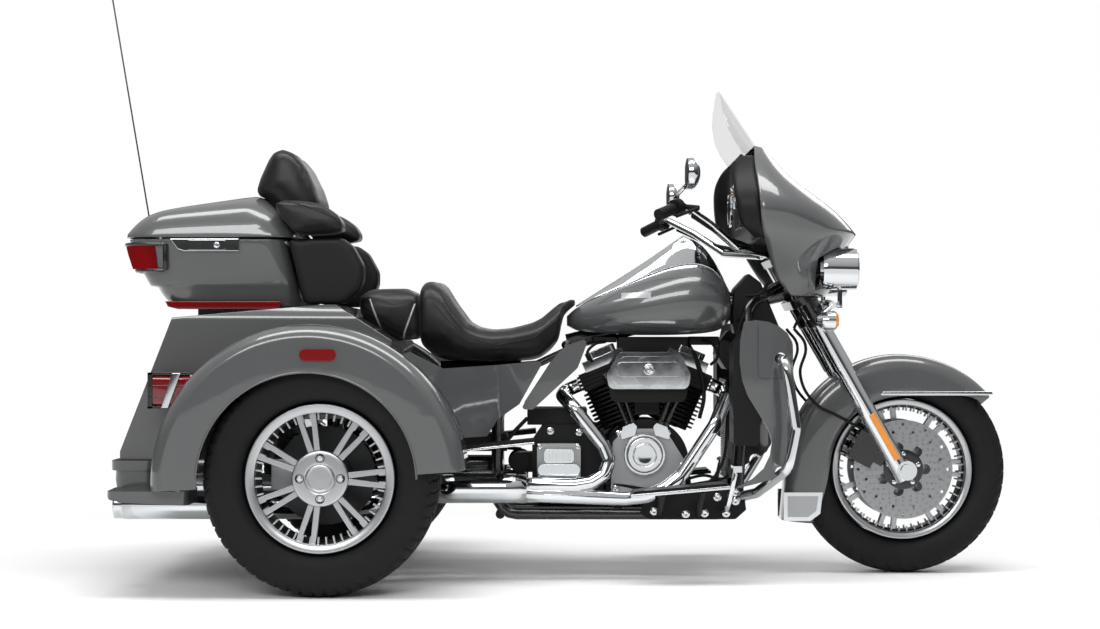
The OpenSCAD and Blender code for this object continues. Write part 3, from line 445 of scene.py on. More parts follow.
def screw(mesh, centre, axis, radius, height):
    washer, socket, floor = radius * 1.35, radius * 0.5, height * 0.6
    turned(mesh, centre, axis,
           [(washer, 0), (washer, height * 0.2), (radius, height * 0.25), (radius, height * 0.85),
            (radius * 0.85, height), (socket, height), (socket, floor), (0.3, floor)], 12)


def soften(made, bevel_mm=1.0, segments=2):
    mesh = bmesh.new()
    mesh.from_mesh(made.data)
    bmesh.ops.recalc_face_normals(mesh, faces=mesh.faces)
    mesh.to_mesh(made.data)
    mesh.free()
    break_edges(made, bevel_mm, segments, SMALL_EDGE)
    made.modifiers.new("shading", "WEIGHTED_NORMAL").keep_sharp = True
    return made


def tube_run(name, points, radius, material, body):
    data = bpy.data.curves.new(name, "CURVE")
    data.dimensions = "3D"
    data.bevel_depth = radius * MM
    data.bevel_resolution = 4
    data.resolution_u = 8
    data.use_fill_caps = True
    run = data.splines.new("BEZIER")
    run.bezier_points.add(len(points) - 1)
    for point, spot in zip(run.bezier_points, points):
        point.co = Vector(spot) * MM
        point.handle_left_type = point.handle_right_type = "AUTO"
    data.materials.append(material)
    made = bpy.data.objects.new(name, data)
    bpy.context.scene.collection.objects.link(made)
    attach(made, body)


print("makers ready")

# %% [markdown]
# Outlines that come again and again have functions too: rectangles, rectangles with round corners, bars
# that point away from a hub, and spots on a circle. A ray from the side finds where a stripe or a seam
# lies on a curved panel, so that thin pieces follow the surface.

# %% Outlines and rays
RAY_START_MM = 1500


def rectangle(x0, x1, z0, z1):
    return [(x0, z0), (x1, z0), (x1, z1), (x0, z1)]


def slab(mesh, x0, x1, y0, y1, z0, z1):
    plate(mesh, rectangle(x0, x1, z0, z1), "y", y0, y1)


def oval(x0, x1, z0, z1, corner, steps=6):
    spots = []
    for cx, cz, start in ((x1 - corner, z1 - corner, 0), (x0 + corner, z1 - corner, 90),
                          (x0 + corner, z0 + corner, 180), (x1 - corner, z0 + corner, 270)):
        for k in range(steps + 1):
            a = math.radians(start + 90 * k / steps)
            spots.append((cx + corner * math.cos(a), cz + corner * math.sin(a)))
    return spots


def radial_bar(mesh, hub, degrees, inner, outer, half_in, half_out, y0, y1):
    a = math.radians(degrees)
    along, across = Vector((math.cos(a), math.sin(a))), Vector((-math.sin(a), math.cos(a)))
    outline = [along * inner - across * half_in, along * outer - across * half_out,
               along * outer + across * half_out, along * inner + across * half_in]
    plate(mesh, [(hub[0] + p.x, hub[1] + p.y) for p in outline], "y", y0, y1)


def circle_spots(hub, radius, count, first_turn=0.0):
    angles = [2 * math.pi * (first_turn + k / count) for k in range(count)]
    return [(hub[0] + radius * math.cos(a), hub[1] + radius * math.sin(a)) for a in angles]


def between(points, steps):
    spots = []
    for (x0, z0), (x1, z1) in zip(points, points[1:]):
        spots += [(x0 + (x1 - x0) * k / steps, z0 + (z1 - z0) * k / steps) for k in range(steps)]
    return spots + [points[-1]]


def tree_of(made):
    made.data.update()
    made.update_tag()
    bpy.context.view_layer.update()
    return BVHTree.FromObject(made, bpy.context.evaluated_depsgraph_get())


def side_hit(surface, x, z, side, proud_mm):
    hit = surface.ray_cast(Vector((x, side * RAY_START_MM, z)) * MM, Vector((0, -side, 0)))[0]
    return None if hit is None else (x, hit.y / MM + side * proud_mm, z)


print("outline helpers ready")

# %% [markdown]
# Tyres come out of a mould, so their tread is part of the rubber. The section is a squarish oval, as
# in the solid. Going round it, points inside a groove sink by the depth of the tread. The front tyre
# has slanted cuts that run over its shoulder; the rear pair have four grooves and cut shoulders.

# %% Tyres with tread
TREAD_STEPS = 8
GROOVE_MM, CUT_MM, WALL_RIB_MM = 6.5, 5.5, 1.2
GROOVE_HALF_DEG, CUT_SHARE = 2.0, 0.24
WALL_RIB_DEG = 98
WALL_DEG = [82, 90, WALL_RIB_DEG, 106, 118, 132, 150, 168]
CROWN_DEG = [2.75 * k for k in range(-28, 29)]


def signed_power(value, power):
    return math.copysign(abs(value) ** power, value)


def tread_depth(tilt, turn_in_pitches, grooves_deg, slant, shoulder_deg):
    if any(abs(tilt - groove) < GROOVE_HALF_DEG for groove in grooves_deg):
        return GROOVE_MM
    if grooves_deg[0] < tilt < shoulder_deg and (turn_in_pitches + slant * tilt / 60) % 1.0 < CUT_SHARE:
        return CUT_MM
    return -WALL_RIB_MM if tilt == WALL_RIB_DEG else 0.0


def tread_tyre(name, rim_mm, squareness, pitches, grooves_deg, slant, shoulder_deg):
    low, high = (Vector(corner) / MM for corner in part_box(name))
    centre = (low + high) / 2
    radius, half = (high.z - low.z) / 2, (high.y - low.y) / 2
    middle, reach = (radius + rim_mm) / 2, (radius - rim_mm) / 2
    angles = [-a for a in reversed(WALL_DEG)] + CROWN_DEG + WALL_DEG
    around = pitches * TREAD_STEPS
    mesh = bmesh.new()
    rows = []
    for k in range(around):
        turn = 2 * math.pi * k / around
        row = []
        for tilt in angles:
            a = math.radians(tilt)
            depth = tread_depth(abs(tilt), k / TREAD_STEPS, grooves_deg, slant, shoulder_deg)
            r = middle + reach * signed_power(math.cos(a), 2 / squareness) - depth * math.cos(a * 0.6)
            y = half * signed_power(math.sin(a), 2 / squareness)
            row.append(mesh.verts.new((centre + Vector((r * math.cos(turn), y, r * math.sin(turn)))) * MM))
        rows.append(row)
    for here, there in zip(rows, rows[1:] + rows[:1]):
        for i in range(len(angles)):
            mesh.faces.new((here[i - 1], here[i], there[i], there[i - 1]))
    bmesh.ops.recalc_face_normals(mesh, faces=mesh.faces)
    made = show(name + "_tread", mesh, [tyre_rubber], body_of(name))
    made.data.set_sharp_from_angle(angle=math.radians(32))
    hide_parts(name)
    return made


front_tread = tread_tyre("front_tyre", 212, 2.6, 46, [8, 34], 0.9, 74)
for name in ("rear_tyre_right", "rear_tyre_left"):
    tread_tyre(name, 205, 3.6, 58, [10, 30], 0.25, 70)
print("front tyre faces", len(front_tread.data.polygons))

# %% [markdown]
# Soft and rounded pieces start from a remeshed copy of their solid: an even skin of small cells has
# points everywhere, so it can be smoothed and can swell, which a few large faces can't. The moulded
# speaker pods need no more than that: rounds of smoothing take away their hard edges.

# %% Even cells and speaker pods
POD_CELL_MM, POD_ROUNDS = 5, 14


def smooth_points(mesh, rounds):
    for _ in range(rounds):
        bmesh.ops.smooth_vert(mesh, verts=mesh.verts, factor=0.5,
                              use_axis_x=True, use_axis_y=True, use_axis_z=True)


def remeshed(name, cell_mm):
    mesh = joined_faces(name)
    data = bpy.data.meshes.new("cells")
    mesh.to_mesh(data)
    mesh.free()
    helper = bpy.data.objects.new("cells", data)
    bpy.context.scene.collection.objects.link(helper)
    cells = helper.modifiers.new("cells", "REMESH")
    cells.mode = "VOXEL"
    cells.voxel_size = cell_mm * MM
    graph = bpy.context.evaluated_depsgraph_get()
    made = bmesh.new()
    made.from_mesh(bpy.data.meshes.new_from_object(helper.evaluated_get(graph)))
    bpy.data.objects.remove(helper)
    return made


pod_mesh = remeshed("speaker_pods", POD_CELL_MM)
smooth_points(pod_mesh, POD_ROUNDS)
pods = show("speaker_pods_shell", pod_mesh, [moulded_plastic], body_of("speaker_pods"))
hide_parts("speaker_pods")
print("pod faces", len(pods.data.polygons))

# %% [markdown]
# Cushions are leather over foam, so they swell between their seams. The remeshed copy is drawn in a
# little and blown up as cloth for twenty frames. No point may travel further than a few millimetres,
# which keeps the cushion at its size, and a last smoothing calms the folds.

# %% Cushions
CUSHION_CELL_MM, CUSHION_ROUNDS, CALM_ROUNDS = 6, 5, 3
DRAWN_IN_MM, SWELL_LIMIT_MM = 2.0, 6.0
SWELL_FRAMES, SWELL_PRESSURE = 20, 4.0


def swell(made):
    start = [v.co.copy() for v in made.data.vertices]
    cloth = made.modifiers.new("cloth", "CLOTH")
    cloth.settings.use_pressure = True
    cloth.settings.uniform_pressure_force = SWELL_PRESSURE
    cloth.settings.effector_weights.gravity = 0.0
    for number in range(1, SWELL_FRAMES + 1):
        bpy.context.scene.frame_set(number)
    graph = bpy.context.evaluated_depsgraph_get()
    blown = [v.co.copy() for v in made.evaluated_get(graph).data.vertices]
    made.modifiers.remove(cloth)
    limit = SWELL_LIMIT_MM * MM
    for vert, old, new in zip(made.data.vertices, start, blown):
        move = new - old
        vert.co = old + (move.normalized() * limit if move.length > limit else move)
    calm = bmesh.new()
    calm.from_mesh(made.data)
    smooth_points(calm, CALM_ROUNDS)
    calm.to_mesh(made.data)
    calm.free()
    bpy.context.scene.frame_set(1)


def cushion(name):
    mesh = remeshed(name, CUSHION_CELL_MM)
    smooth_points(mesh, CUSHION_ROUNDS)
    mesh.normal_update()
    for vert in mesh.verts:
        vert.co -= vert.normal * DRAWN_IN_MM * MM
    made = show(name + "_cushion", mesh, [leather], body_of(name))
    swell(made)
    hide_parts(name)
    return made


seat, pillion, pad, rest = (cushion(n) for n in ("rider_seat", "passenger_seat", "back_pad", "backrest"))
print("cushion faces", [len(made.data.polygons) for made in (seat, pillion, pad, rest)])

# %% [markdown]
# Silver piping and sewn seams follow the swollen leather, so they come after it. Points are given in
# side view and a ray finds the leather at each; a thin tube through the hits is the piping.

# %% Seams and piping
# Columns: piece, its cushion, points (x, z), steps from point to point, finish, body, radius, height
SEAMS = (
    ("pillion_piping_rear", pillion, [(-526, 826), (-494, 738)], 6, stripe_silver, "chassis", 3.2, 1.6),
    ("pillion_piping_front", pillion, [(-392, 812), (-428, 712)], 6, stripe_silver, "chassis", 3.2, 1.6),
    ("seat_seam", seat, [(-340, 820), (-300, 770), (-240, 715), (-150, 690), (-40, 712), (40, 775)], 5,
     leather, "chassis", 1.4, 0.3),
    ("rest_seam", rest, [(-850, 1095), (-770, 1112), (-690, 1090), (-620, 1062)], 5,
     leather, "lid", 1.4, 0.3),
)
for name, made, points, steps, material, body, radius, proud in SEAMS:
    surface = tree_of(made)
    for side, word in SIDES:
        hits = [side_hit(surface, x, z, side, proud) for x, z in between(points, steps)]
        on_leather = [hit for hit in hits if hit]
        tube_run(f"{name}_{word}", on_leather, radius, material, body)
        print(name, word, len(on_leather), "points on the leather")

# %% [markdown]
# Behind the bright covers the engine bay is nearly all black: trays, boxes and the plates at the foot of
# the frame. Plain blocks with broken edges fill it, because only their outlines show. Two cores run
# through the finned cylinders, so that no light shines between the fins.

# %% Black parts of the engine bay
CRANK = (297, 340)
CYLINDER_LEAN = 22.5
# Columns: x from, x to, y from, y to, z from, z to
BAY_BLOCKS = (
    (214, 424, -66, 66, 664, 715),
    (140, 210, -52, 52, 698, 715),
    (430, 520, -52, 52, 690, 716),
    (262, 338, -96, 96, 480, 560),
    (-300, -120, -110, 30, 372, 424),
    (-60, 120, -92, 92, 450, 500),
)
FOOT_PLATE = [(276, 190), (300, 172), (560, 172), (592, 200), (584, 262), (520, 270), (450, 258), (300, 262)]
bay = bmesh.new()
for block in BAY_BLOCKS:
    slab(bay, *block)
for side, word in SIDES:
    plate(bay, FOOT_PLATE, "y", side * 147, side * 152)
for lean in (-CYLINDER_LEAN, CYLINDER_LEAN):
    radial_bar(bay, CRANK, 90 - lean, 130, 300, 80, 84, -24, 24)
soften(show("engine_bay_black_parts", bay, [wrinkle_enamel], "chassis"), 3)
print("bay blocks", len(BAY_BLOCKS))

# %% [markdown]
# The oil cooler hangs between the front tubes: two tanks, two side plates and a stack of thin fins. Each
# fin is a real plate, since the gaps between them catch the light.

# %% Oil cooler
FINS, FIN_PITCH, FIRST_FIN = 44, 6.2, 293
cooler = bmesh.new()
for z0, z1 in ((268, 292), (566, 588)):
    slab(cooler, 534, 562, -104, 104, z0, z1)
for k in range(FINS):
    foot = FIRST_FIN + k * FIN_PITCH
    slab(cooler, 536, 560, -100, 100, foot, foot + 2)
for y0, y1 in ((-104, -98), (98, 104)):
    slab(cooler, 540, 556, y0, y1, 270, 588)
soften(show("oil_cooler", cooler, [black_enamel], "chassis"), 0.4, 1)
print("oil cooler fins", FINS)

# %% [markdown]
# Bright screws pick out every flange. They are small, so each is one turned shape with a washer and a
# socket, and all of them share a mesh.

# %% Screws
COVER_HUB = (290, 364)
# Columns: y of the flange on the right side, radius, height, places (x, z)
RIGHT_SCREWS = (
    (-128, 7, 8, [(300, 250), (415, 240), (204, 262), (214, 426), (360, 428), (404, 330)]),
    (-132, 6, 8, [(-22, 298), (92, 298), (-22, 388), (92, 388)]),
    (-98, 8, 10, [(10, 432), (96, 428), (-60, 400), (-34, 244), (130, 244), (150, 400)]),
    (-158, 3.4, 3, circle_spots(COVER_HUB, 43, 5, 0.25)),
)
FOOT_SCREWS = [(318, 196), (412, 188), (468, 190), (532, 190), (506, 238), (560, 226), (560, 252)]
bright = bmesh.new()
for y, radius, height, places in RIGHT_SCREWS:
    for x, z in places:
        screw(bright, (x, y, z), (0, -1, 0), radius, height)
for x, z in FOOT_SCREWS:
    for side, word in SIDES:
        screw(bright, (x, side * 152, z), (0, side, 0), 9, 9)
soften(show("engine_screws", bright, [chrome], "chassis"), 0.4, 1)
print("screws", sum(len(row[-1]) for row in RIGHT_SCREWS) + 2 * len(FOOT_SCREWS))

# %% [markdown]
# Polished covers lie on the right side of the engine: a round one with steps over the crankshaft, two
# ribbed ones on the gearbox and two blocks under the pushrods.

# %% Bright covers
TAPPET_BLOCKS = ([(222, 408), (262, 420), (268, 448), (258, 458), (226, 446), (218, 424)],
                 [(322, 420), (364, 408), (366, 426), (358, 446), (326, 458), (316, 446)])
crank_x, crank_z = COVER_HUB
covers = bmesh.new()
turned(covers, (crank_x, -158, crank_z), (0, -1, 0),
       [(51, 0), (51, 3), (49, 4.5), (36, 4.5), (35, 3), (33, 3), (32, 4.6), (22, 4.6), (21, 4), (1, 4)], 64)
turned(covers, (crank_x, -146, crank_z), (0, -1, 0), [(62, 0), (62, 4), (60, 6), (54, 6), (53, 0)], 64)
plate(covers, oval(-28, 98, 300, 336, 17), "y", -153, -139)
plate(covers, oval(-10, 80, 338, 380, 12), "y", -150, -139)
for x in (8, 26, 44, 62):
    plate(covers, oval(x, x + 8, 346, 372, 3), "y", -153, -149)
for outline in TAPPET_BLOCKS:
    plate(covers, outline, "y", -142, -112)
bright_covers = soften(show("engine_bright_covers", covers, [chrome], "chassis"), 2.5, 3)
print("bright cover faces", len(bright_covers.data.polygons))

# %% [markdown]
# Four pushrod tubes run from those blocks to the heads. Each is turned about its own slanted line: a cup
# at either end, a thin tube and a sleeve that slides over it.

# %% Pushrod tubes
# Columns: foot (x, z), head (x, z)
PUSHRODS = (
    ((246, 440), (176, 606)),
    ((262, 444), (206, 612)),
    ((336, 444), (392, 600)),
    ((352, 440), (420, 592)),
)
for number, (foot, head) in enumerate(PUSHRODS):
    rod = bmesh.new()
    run = Vector((head[0] - foot[0], 0, head[1] - foot[1]))
    turned(rod, (foot[0], -104 + 8 * (number % 2), foot[1]), run,
           [(11, 0), (11, 18), (8, 22), (8, run.length * 0.5), (10, run.length * 0.52), (10, run.length - 22),
            (12, run.length - 18), (12, run.length)], 20)
    soften(show(f"pushrod_tube_{number}", rod, [black_enamel], "chassis"), 0.8)
print("pushrod tubes", len(PUSHRODS))

# %% [markdown]
# Wires, hoses and looms are fastened along their run, so none of them hangs. A Bezier curve through a
# few points, with automatic handles, bends as a stiff rubber line does.

# %% Wires and hoses
THICK_LINE, THIN_LINE = 6, 4.5
THICK_WIRES = {
    "breather_hose": [(430, -40, 690), (452, -92, 640), (470, -110, 540), (456, -112, 470)],
    "loom_rear": [(-60, -90, 470), (-90, -110, 440), (-130, -118, 400), (-210, -112, 392)],
    "neck_loom": [(560, -30, 760), (620, -70, 770), (640, -80, 720), (610, -100, 640)],
    "neck_loom_high": [(540, 20, 850), (600, -40, 840), (650, -56, 850), (668, -50, 880)],
}
THIN_WIRES = {
    "plug_wire_rear": [(176, -60, 700), (140, -84, 690), (120, -92, 660), (136, -82, 640)],
    "plug_wire_front": [(470, -50, 705), (500, -84, 690), (512, -92, 655), (492, -84, 630)],
    "clutch_cable": [(600, -70, 800), (560, -128, 690), (540, -132, 480), (500, -140, 300), (420, -140, 262),
                     (150, -120, 280)],
    "oil_line_high": [(548, -96, 560), (520, -110, 520), (470, -112, 420), (430, -100, 330)],
    "oil_line_low": [(548, -96, 300), (520, -120, 290), (470, -118, 300), (424, -104, 290)],
}
for wires, radius in ((THICK_WIRES, THICK_LINE), (THIN_WIRES, THIN_LINE)):
    for name, points in wires.items():
        tube_run(name, points, radius, soft_rubber, "chassis")
print("lines", len(THICK_WIRES) + len(THIN_WIRES))

# %% [markdown]
# The air cleaner cover is the brightest thing on the engine: a plated teardrop with a raised oblong
# panel and one round bolt. The teardrop is a solid; the panel and the bolt are added here.

# %% Air cleaner
air = bmesh.new()
plate(air, oval(205, 392, 596, 640, 16), "y", -219, -212)
turned(air, (300, -219, 618), (0, -1, 0),
       [(17, 0), (17, 2), (15, 4), (11, 4), (10, 2.5), (6, 2.5), (5, 5), (0.5, 5)], 40)
air_panel = soften(show("air_cleaner_panel", air, [chrome], "chassis"), 2.2, 3)
print("air cleaner faces", len(air_panel.data.polygons))

# %% [markdown]
# A silver bar and a dark pinstripe decorate each side of the tank. Stripes are only a coat of paint
# thick, so each is a narrow ribbon: a line in side view, widened, and laid on the panel by rays.

# %% Stripes on the tank
PAINT_PROUD_MM = 0.6


def ribbon(name, surface, line, width_mm, material, body, proud):
    for side, word in SIDES:
        mesh = bmesh.new()
        last = None
        for k, (x, z) in enumerate(line):
            ahead = Vector(line[min(k + 1, len(line) - 1)]) - Vector(line[max(k - 1, 0)])
            across = Vector((-ahead.y, ahead.x)).normalized() * width_mm / 2
            ends = [side_hit(surface, x + f * across.x, z + f * across.y, side, proud) for f in (-1, 0, 1)]
            if None in ends:
                last = None
                continue
            here = [mesh.verts.new(Vector(p) * MM) for p in ends]
            if last:
                for i in (0, 1):
                    mesh.faces.new((last[i], last[i + 1], here[i + 1], here[i]))
            last = here
        show(f"{name}_{word}", mesh, [material], body)


TANK_BAR = [(222, 838), (308, 838)]
TANK_LOOP = [(150, 812), (230, 858), (330, 886), (420, 892), (490, 868), (528, 828), (536, 790), (520, 756),
             (480, 740), (430, 736), (390, 742), (330, 740), (250, 748), (180, 766)]
tank_surface = tree_of(bpy.data.objects["fuel_tank_panel"])
ribbon("tank_arrow", tank_surface, between(TANK_BAR, 14), 17, stripe_silver, "chassis", PAINT_PROUD_MM)
ribbon("tank_pinstripe", tank_surface, between(TANK_LOOP, 10), 2.4, pin_line, "chassis", PAINT_PROUD_MM)
print("tank stripes on", len(SIDES), "sides")

# %% [markdown]
# Bright strips run along the front fender and close the end of its skirt, edges protect the footboards
# and a red strip lies under the luggage box. They are the same on both sides, so one function makes a
# pair of plates in one mesh.

# %% Trim in pairs


def trim_pair(name, rows, materials, body, bevel_mm):
    mesh = bmesh.new()
    for side, word in SIDES:
        for outline, inner, outer, index in rows:
            plate(mesh, outline, "y", side * inner, side * outer, index)
    return soften(show(name, mesh, materials, body), bevel_mm)


# Rows: outline (x, z), y from, y to, number of the finish
trim_pair("fender_trim", [([(1005, 538), (1330, 538), (1344, 541), (1340, 550), (1012, 549)], 73, 77.5, 0)],
          [chrome], "steering", 1.5)
trim_pair("fender_skirt_end", [([(712, 160), (792, 160), (822, 182), (830, 246), (712, 246)], 76.2, 78, 0),
                               ([(724, 172), (786, 172), (810, 190), (817, 235), (724, 235)], 78, 78.6, 1)],
          [chrome, stripe_silver], "steering", 0.8)
trim_pair("footboard_edges", [([(239, 254), (523, 279), (523, 288), (239, 263)], 386, 390.5, 0),
                              ([(-228, 386), (-36, 406), (-36, 413), (-228, 393)], 380, 384, 0)],
          [chrome], "chassis", 1.5)
trim_pair("box_red_strip",
          [([(-1108, 802), (-1080, 795), (-782, 795), (-778, 818), (-1116, 818)], 236, 262, 0)],
          [red_lens], "chassis", 2)
print("trim pairs done")

# %% [markdown]
# The luggage box closes with a plated latch on its right side: a wide plate, a handle on it and a round
# lock. It stays with the box when the lid opens.

# %% Latch of the luggage box
latch = bmesh.new()
plate(latch, [(-1096, 999), (-894, 999), (-894, 962), (-1052, 962), (-1072, 968)], "y", -303, -290)
soften(show("box_latch_plate", latch, [chrome], "chassis"), 2.5, 3)
lock = bmesh.new()
plate(lock, oval(-1042, -932, 966, 994, 4), "y", -305, -302)
turned(lock, (-958, -305, 980), (0, -1, 0), [(9, 0), (9, 2), (7, 3), (5, 3), (4.5, 1.5), (0.5, 1.5)], 32)
soften(show("box_latch_handle", lock, [chrome], "chassis"), 1.0)
print("latch done")

# %% [markdown]
# Rear lamps sit in black bezels. On the body each lamp has cross bars and a slanted chrome blade; on the
# box, tubes follow the lamp round its corner. The side markers get round ends, so the lamps' solid is
# copied, its square markers are cut away and oval ones take their place.

# %% Bezels and lenses of the rear lamps
LAMP_FACE_Y = 560
MARKER_FROM, MARKER_FACE = 687, 694.5
BAR_LEVELS = ((514, 521), (607, 614), (546, 549), (576, 579))
bezel_inner, bezel_outer = LAMP_FACE_Y - 60, LAMP_FACE_Y + 2
bezel_bars = [(rectangle(-1104, -988, z0, z1), bezel_inner, bezel_outer, 0) for z0, z1 in BAR_LEVELS]
bezel_end = (rectangle(-1104, -1090, 514, 614), bezel_inner, bezel_outer, 0)
trim_pair("body_lamp_bezel", bezel_bars + [bezel_end], [black_enamel], "chassis", 1)
trim_pair("body_lamp_blade", [([(-1066, 516), (-1046, 516), (-1012, 612), (-1036, 612)],
                               LAMP_FACE_Y + 0.5, LAMP_FACE_Y + 5, 0)], [chrome], "chassis", 1.5)
for side, word in SIDES:
    for z, back in ((983, -1233), (907, -1203)):
        corner = [(-1110, 300), (back + 62, 300), (back + 19, 282), (back, 240), (back, 124)]
        bend = [(x, side * y, z) for x, y in corner]
        tube_run(f"box_lamp_bezel_{word}_{z}", bend, 5, black_enamel, "chassis")
    post = [(-1108, side * y, z) for y, z in ((299, 907), (301, 945), (299, 983))]
    tube_run(f"box_lamp_post_{word}", post, 7, black_enamel, "chassis")
lenses = welded("rear_lamps")
square_markers = [v for v in lenses.verts if abs(v.co.y) > (MARKER_FROM + 0.5) * MM]
bmesh.ops.delete(lenses, geom=square_markers, context="VERTS")
for side, word in SIDES:
    plate(lenses, oval(-668, -569, 647, 679, 15), "y", side * MARKER_FROM, side * MARKER_FACE)
rear_lenses = soften(show("rear_lamp_lenses", lenses, [red_lens], "chassis"), 2)
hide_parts("rear_lamps")
print("rear lamp faces", len(rear_lenses.data.polygons))

# %% [markdown]
# The front end carries amber reflectors on the fork, brake hoses that bow from the fork crown to the
# calipers and two looms along the bar. All of it turns with the bar, so it rides the steering body.

# %% Reflectors, hoses and looms
LEG_TILT = math.radians(29.3)
LEG_X, LEG_Y, LEG_Z = 1006, 109, 416
down_leg = Vector((math.sin(LEG_TILT), 0, -math.cos(LEG_TILT)))
over_leg = Vector((down_leg.z, 0, -down_leg.x))
BRAKE_HOSE = [(742, 92, 740), (776, 96, 690), (760, 100, 600), (800, 98, 520), (880, 96, 474), (948, 92, 436)]
UPPER_HOSE = [(770, -92, 822), (764, -96, 790), (742, -92, 740)]
BAR_LOOM = [(420, 330, 1062), (520, 230, 1010), (600, 140, 985), (660, 70, 960)]
for side, word in SIDES:
    corners = [Vector((LEG_X, 0, LEG_Z)) + down_leg * f + over_leg * w
               for f, w in ((-78, -10), (78, -10), (78, 10), (-78, 10))]
    reflector = bmesh.new()
    plate(reflector, [(spot.x, spot.z) for spot in corners], "y", side * 134, side * 141)
    soften(show(f"fork_reflector_{word}", reflector, [amber_lens], "steering"), 1.5)
    hose = [(x, side * y, z) for x, y, z in BRAKE_HOSE]
    tube_run(f"brake_hose_{word}", hose, THIN_LINE, soft_rubber, "steering")
tube_run("brake_hose_upper", UPPER_HOSE, THIN_LINE, soft_rubber, "steering")
for side, name in ((-1, "throttle_loom"), (1, "clutch_loom")):
    tube_run(name, [(x, side * y, z) for x, y, z in BAR_LOOM], THICK_LINE, soft_rubber, "steering")
print("front end done")

# %% [markdown]
# Wheels are cast and then cut on a lathe: the lip, the spoke faces and the hub are bright, and what the
# tool doesn't reach is painted dark. That dark is partly the real finish and partly painted shade for the
# barrel and the hollows between the spokes. So the solid wheel gets dark paint and bright faces lie on it.
# Short pegs round the barrel, four nuts and a plain cap finish each rear wheel.

# %% Rear wheels
SPOKES, SPOKE_LEAN = 7, 6.5
PEGS, PEG_HALF = 49, 2.6
REAR_HUB = (-619, 325)


def ring(mesh, centre, axis, profile, steps=96):
    turned(mesh, centre, axis, profile + [profile[0]], steps, caps=False)


def spoke_faces(mesh, hub, y0, y1, inner, outer, half_in, half_out):
    for k in range(SPOKES):
        for lean in (-SPOKE_LEAN, SPOKE_LEAN):
            radial_bar(mesh, hub, 360 * k / SPOKES + lean, inner, outer, half_in, half_out, y0, y1)


def pegs(mesh, hub, y0, y1, inner, outer):
    for k in range(PEGS):
        radial_bar(mesh, hub, 360 * (k + 0.5) / PEGS, inner, outer, PEG_HALF, PEG_HALF, y0, y1)


rear_x, rear_z = REAR_HUB
for side, word in SIDES:
    body, out = f"rear_{word}_wheel_body", (0, side, 0)
    faces = bmesh.new()
    ring(faces, (rear_x, side * 632, rear_z), out,
         [(205, -3), (203, 0.8), (198, 1.2), (186, -1), (180, -6), (177, -24), (184, -24), (190, -10)])
    spoke_faces(faces, REAR_HUB, side * 602, side * 619, 58, 184, 8.5, 7)
    turned(faces, (rear_x, side * 612, rear_z), out,
           [(78, 0), (78, 9), (75, 13), (66, 15), (44, 15.5), (42, 14), (40, 14), (38, 18), (34, 19),
            (32, 17.5), (1, 18)], 72)
    soften(show(f"rear_wheel_faces_{word}", faces, [turned_aluminium], body), 1.6)
    small = bmesh.new()
    pegs(small, REAR_HUB, side * 606, side * 618, 160, 180)
    soften(show(f"rear_wheel_pegs_{word}", small, [turned_aluminium], body), 0.6, 1)
    nuts = bmesh.new()
    for x, z in circle_spots(REAR_HUB, 56, 4):
        spot = (x, side * 626.5, z)
        turned(nuts, spot, out, [(13, 0), (13, 1.2), (11, 1.6), (10.5, 0.6), (9, 0.6)], 24)
        turned(nuts, spot, out, [(8, 0), (8, 4), (6.5, 5.2), (1, 5.2)], 6, 1)
    soften(show(f"rear_wheel_nuts_{word}", nuts, [black_enamel, chrome], body), 0.5)
print("rear wheels", SPOKES, "spoke pairs each")

# %% [markdown]
# The front wheel has the same spokes and two brake discs. A black carrier with five bolts holds each
# disc, and rows of drilled holes cover it. A hole is drawn as a shallow black ring with a sunk floor,
# because cutting 320 real holes would cost far more faces than the eye can see. Its black is painted
# shade: it stands for the dark inside each hole.

# %% Front wheel and discs
FRONT_HUB = (1074, 315)
# Columns: radius of a row of holes, holes in it
HOLE_ROWS = ((84, 24), (96, 28), (108, 32), (124, 36), (140, 40))
front_x, front_z = FRONT_HUB
front, carrier, holes = bmesh.new(), bmesh.new(), bmesh.new()
for side, word in SIDES:
    out = (0, side, 0)
    ring(front, (front_x, side * 50.4, front_z), out,
         [(212, -2), (210, 1.0), (204, 1.2), (196, -1), (192, -5), (190, -18), (196, -18), (200, -8)])
    spoke_faces(front, FRONT_HUB, side * 8, side * 17, 50, 194, 8, 6.5)
    pegs(front, FRONT_HUB, side * 20, side * 30, 176, 194)
    ring(carrier, (front_x, side * 67, front_z), out, [(60, 0), (60, 2.4), (57, 3.4), (34, 3.4), (32, 0)], 72)
    for x, z in circle_spots(FRONT_HUB, 47, 5, 0.25):
        turned(carrier, (x, side * 70.2, z), out, [(7, 0), (7, 2.4), (5.5, 3.4), (0.5, 3.4)], 18, 1)
    for row, count in HOLE_ROWS:
        for x, z in circle_spots(FRONT_HUB, row, count, 0.5 * (row % 3) / count):
            turned(holes, (x, side * 66.6, z), out,
                   [(3.4, 0), (3.4, 0.8), (2.6, 0.8), (2.4, 0.5), (0.3, 0.5)], 10)
soften(show("front_wheel_faces", front, [turned_aluminium], "front_wheel_body"), 1.2)
soften(show("front_disc_carrier", carrier, [black_enamel, chrome], "front_wheel_body"), 0.6)
# The hole dishes take black enamel as painted shade for the inside of each hole.
drilled = show("front_disc_hole_shade", holes, [black_enamel], "front_wheel_body")
drilled.data.set_sharp_from_angle(angle=SMALL_EDGE)
print("drilled holes", 2 * sum(count for row, count in HOLE_ROWS))

# %% [markdown]
# Black shrouds cover the upper fork tubes, and a moulded cover hides the steering neck between tank and
# fork. Shrouds are turned about the line of the fork leg; the cover is two thick plates.

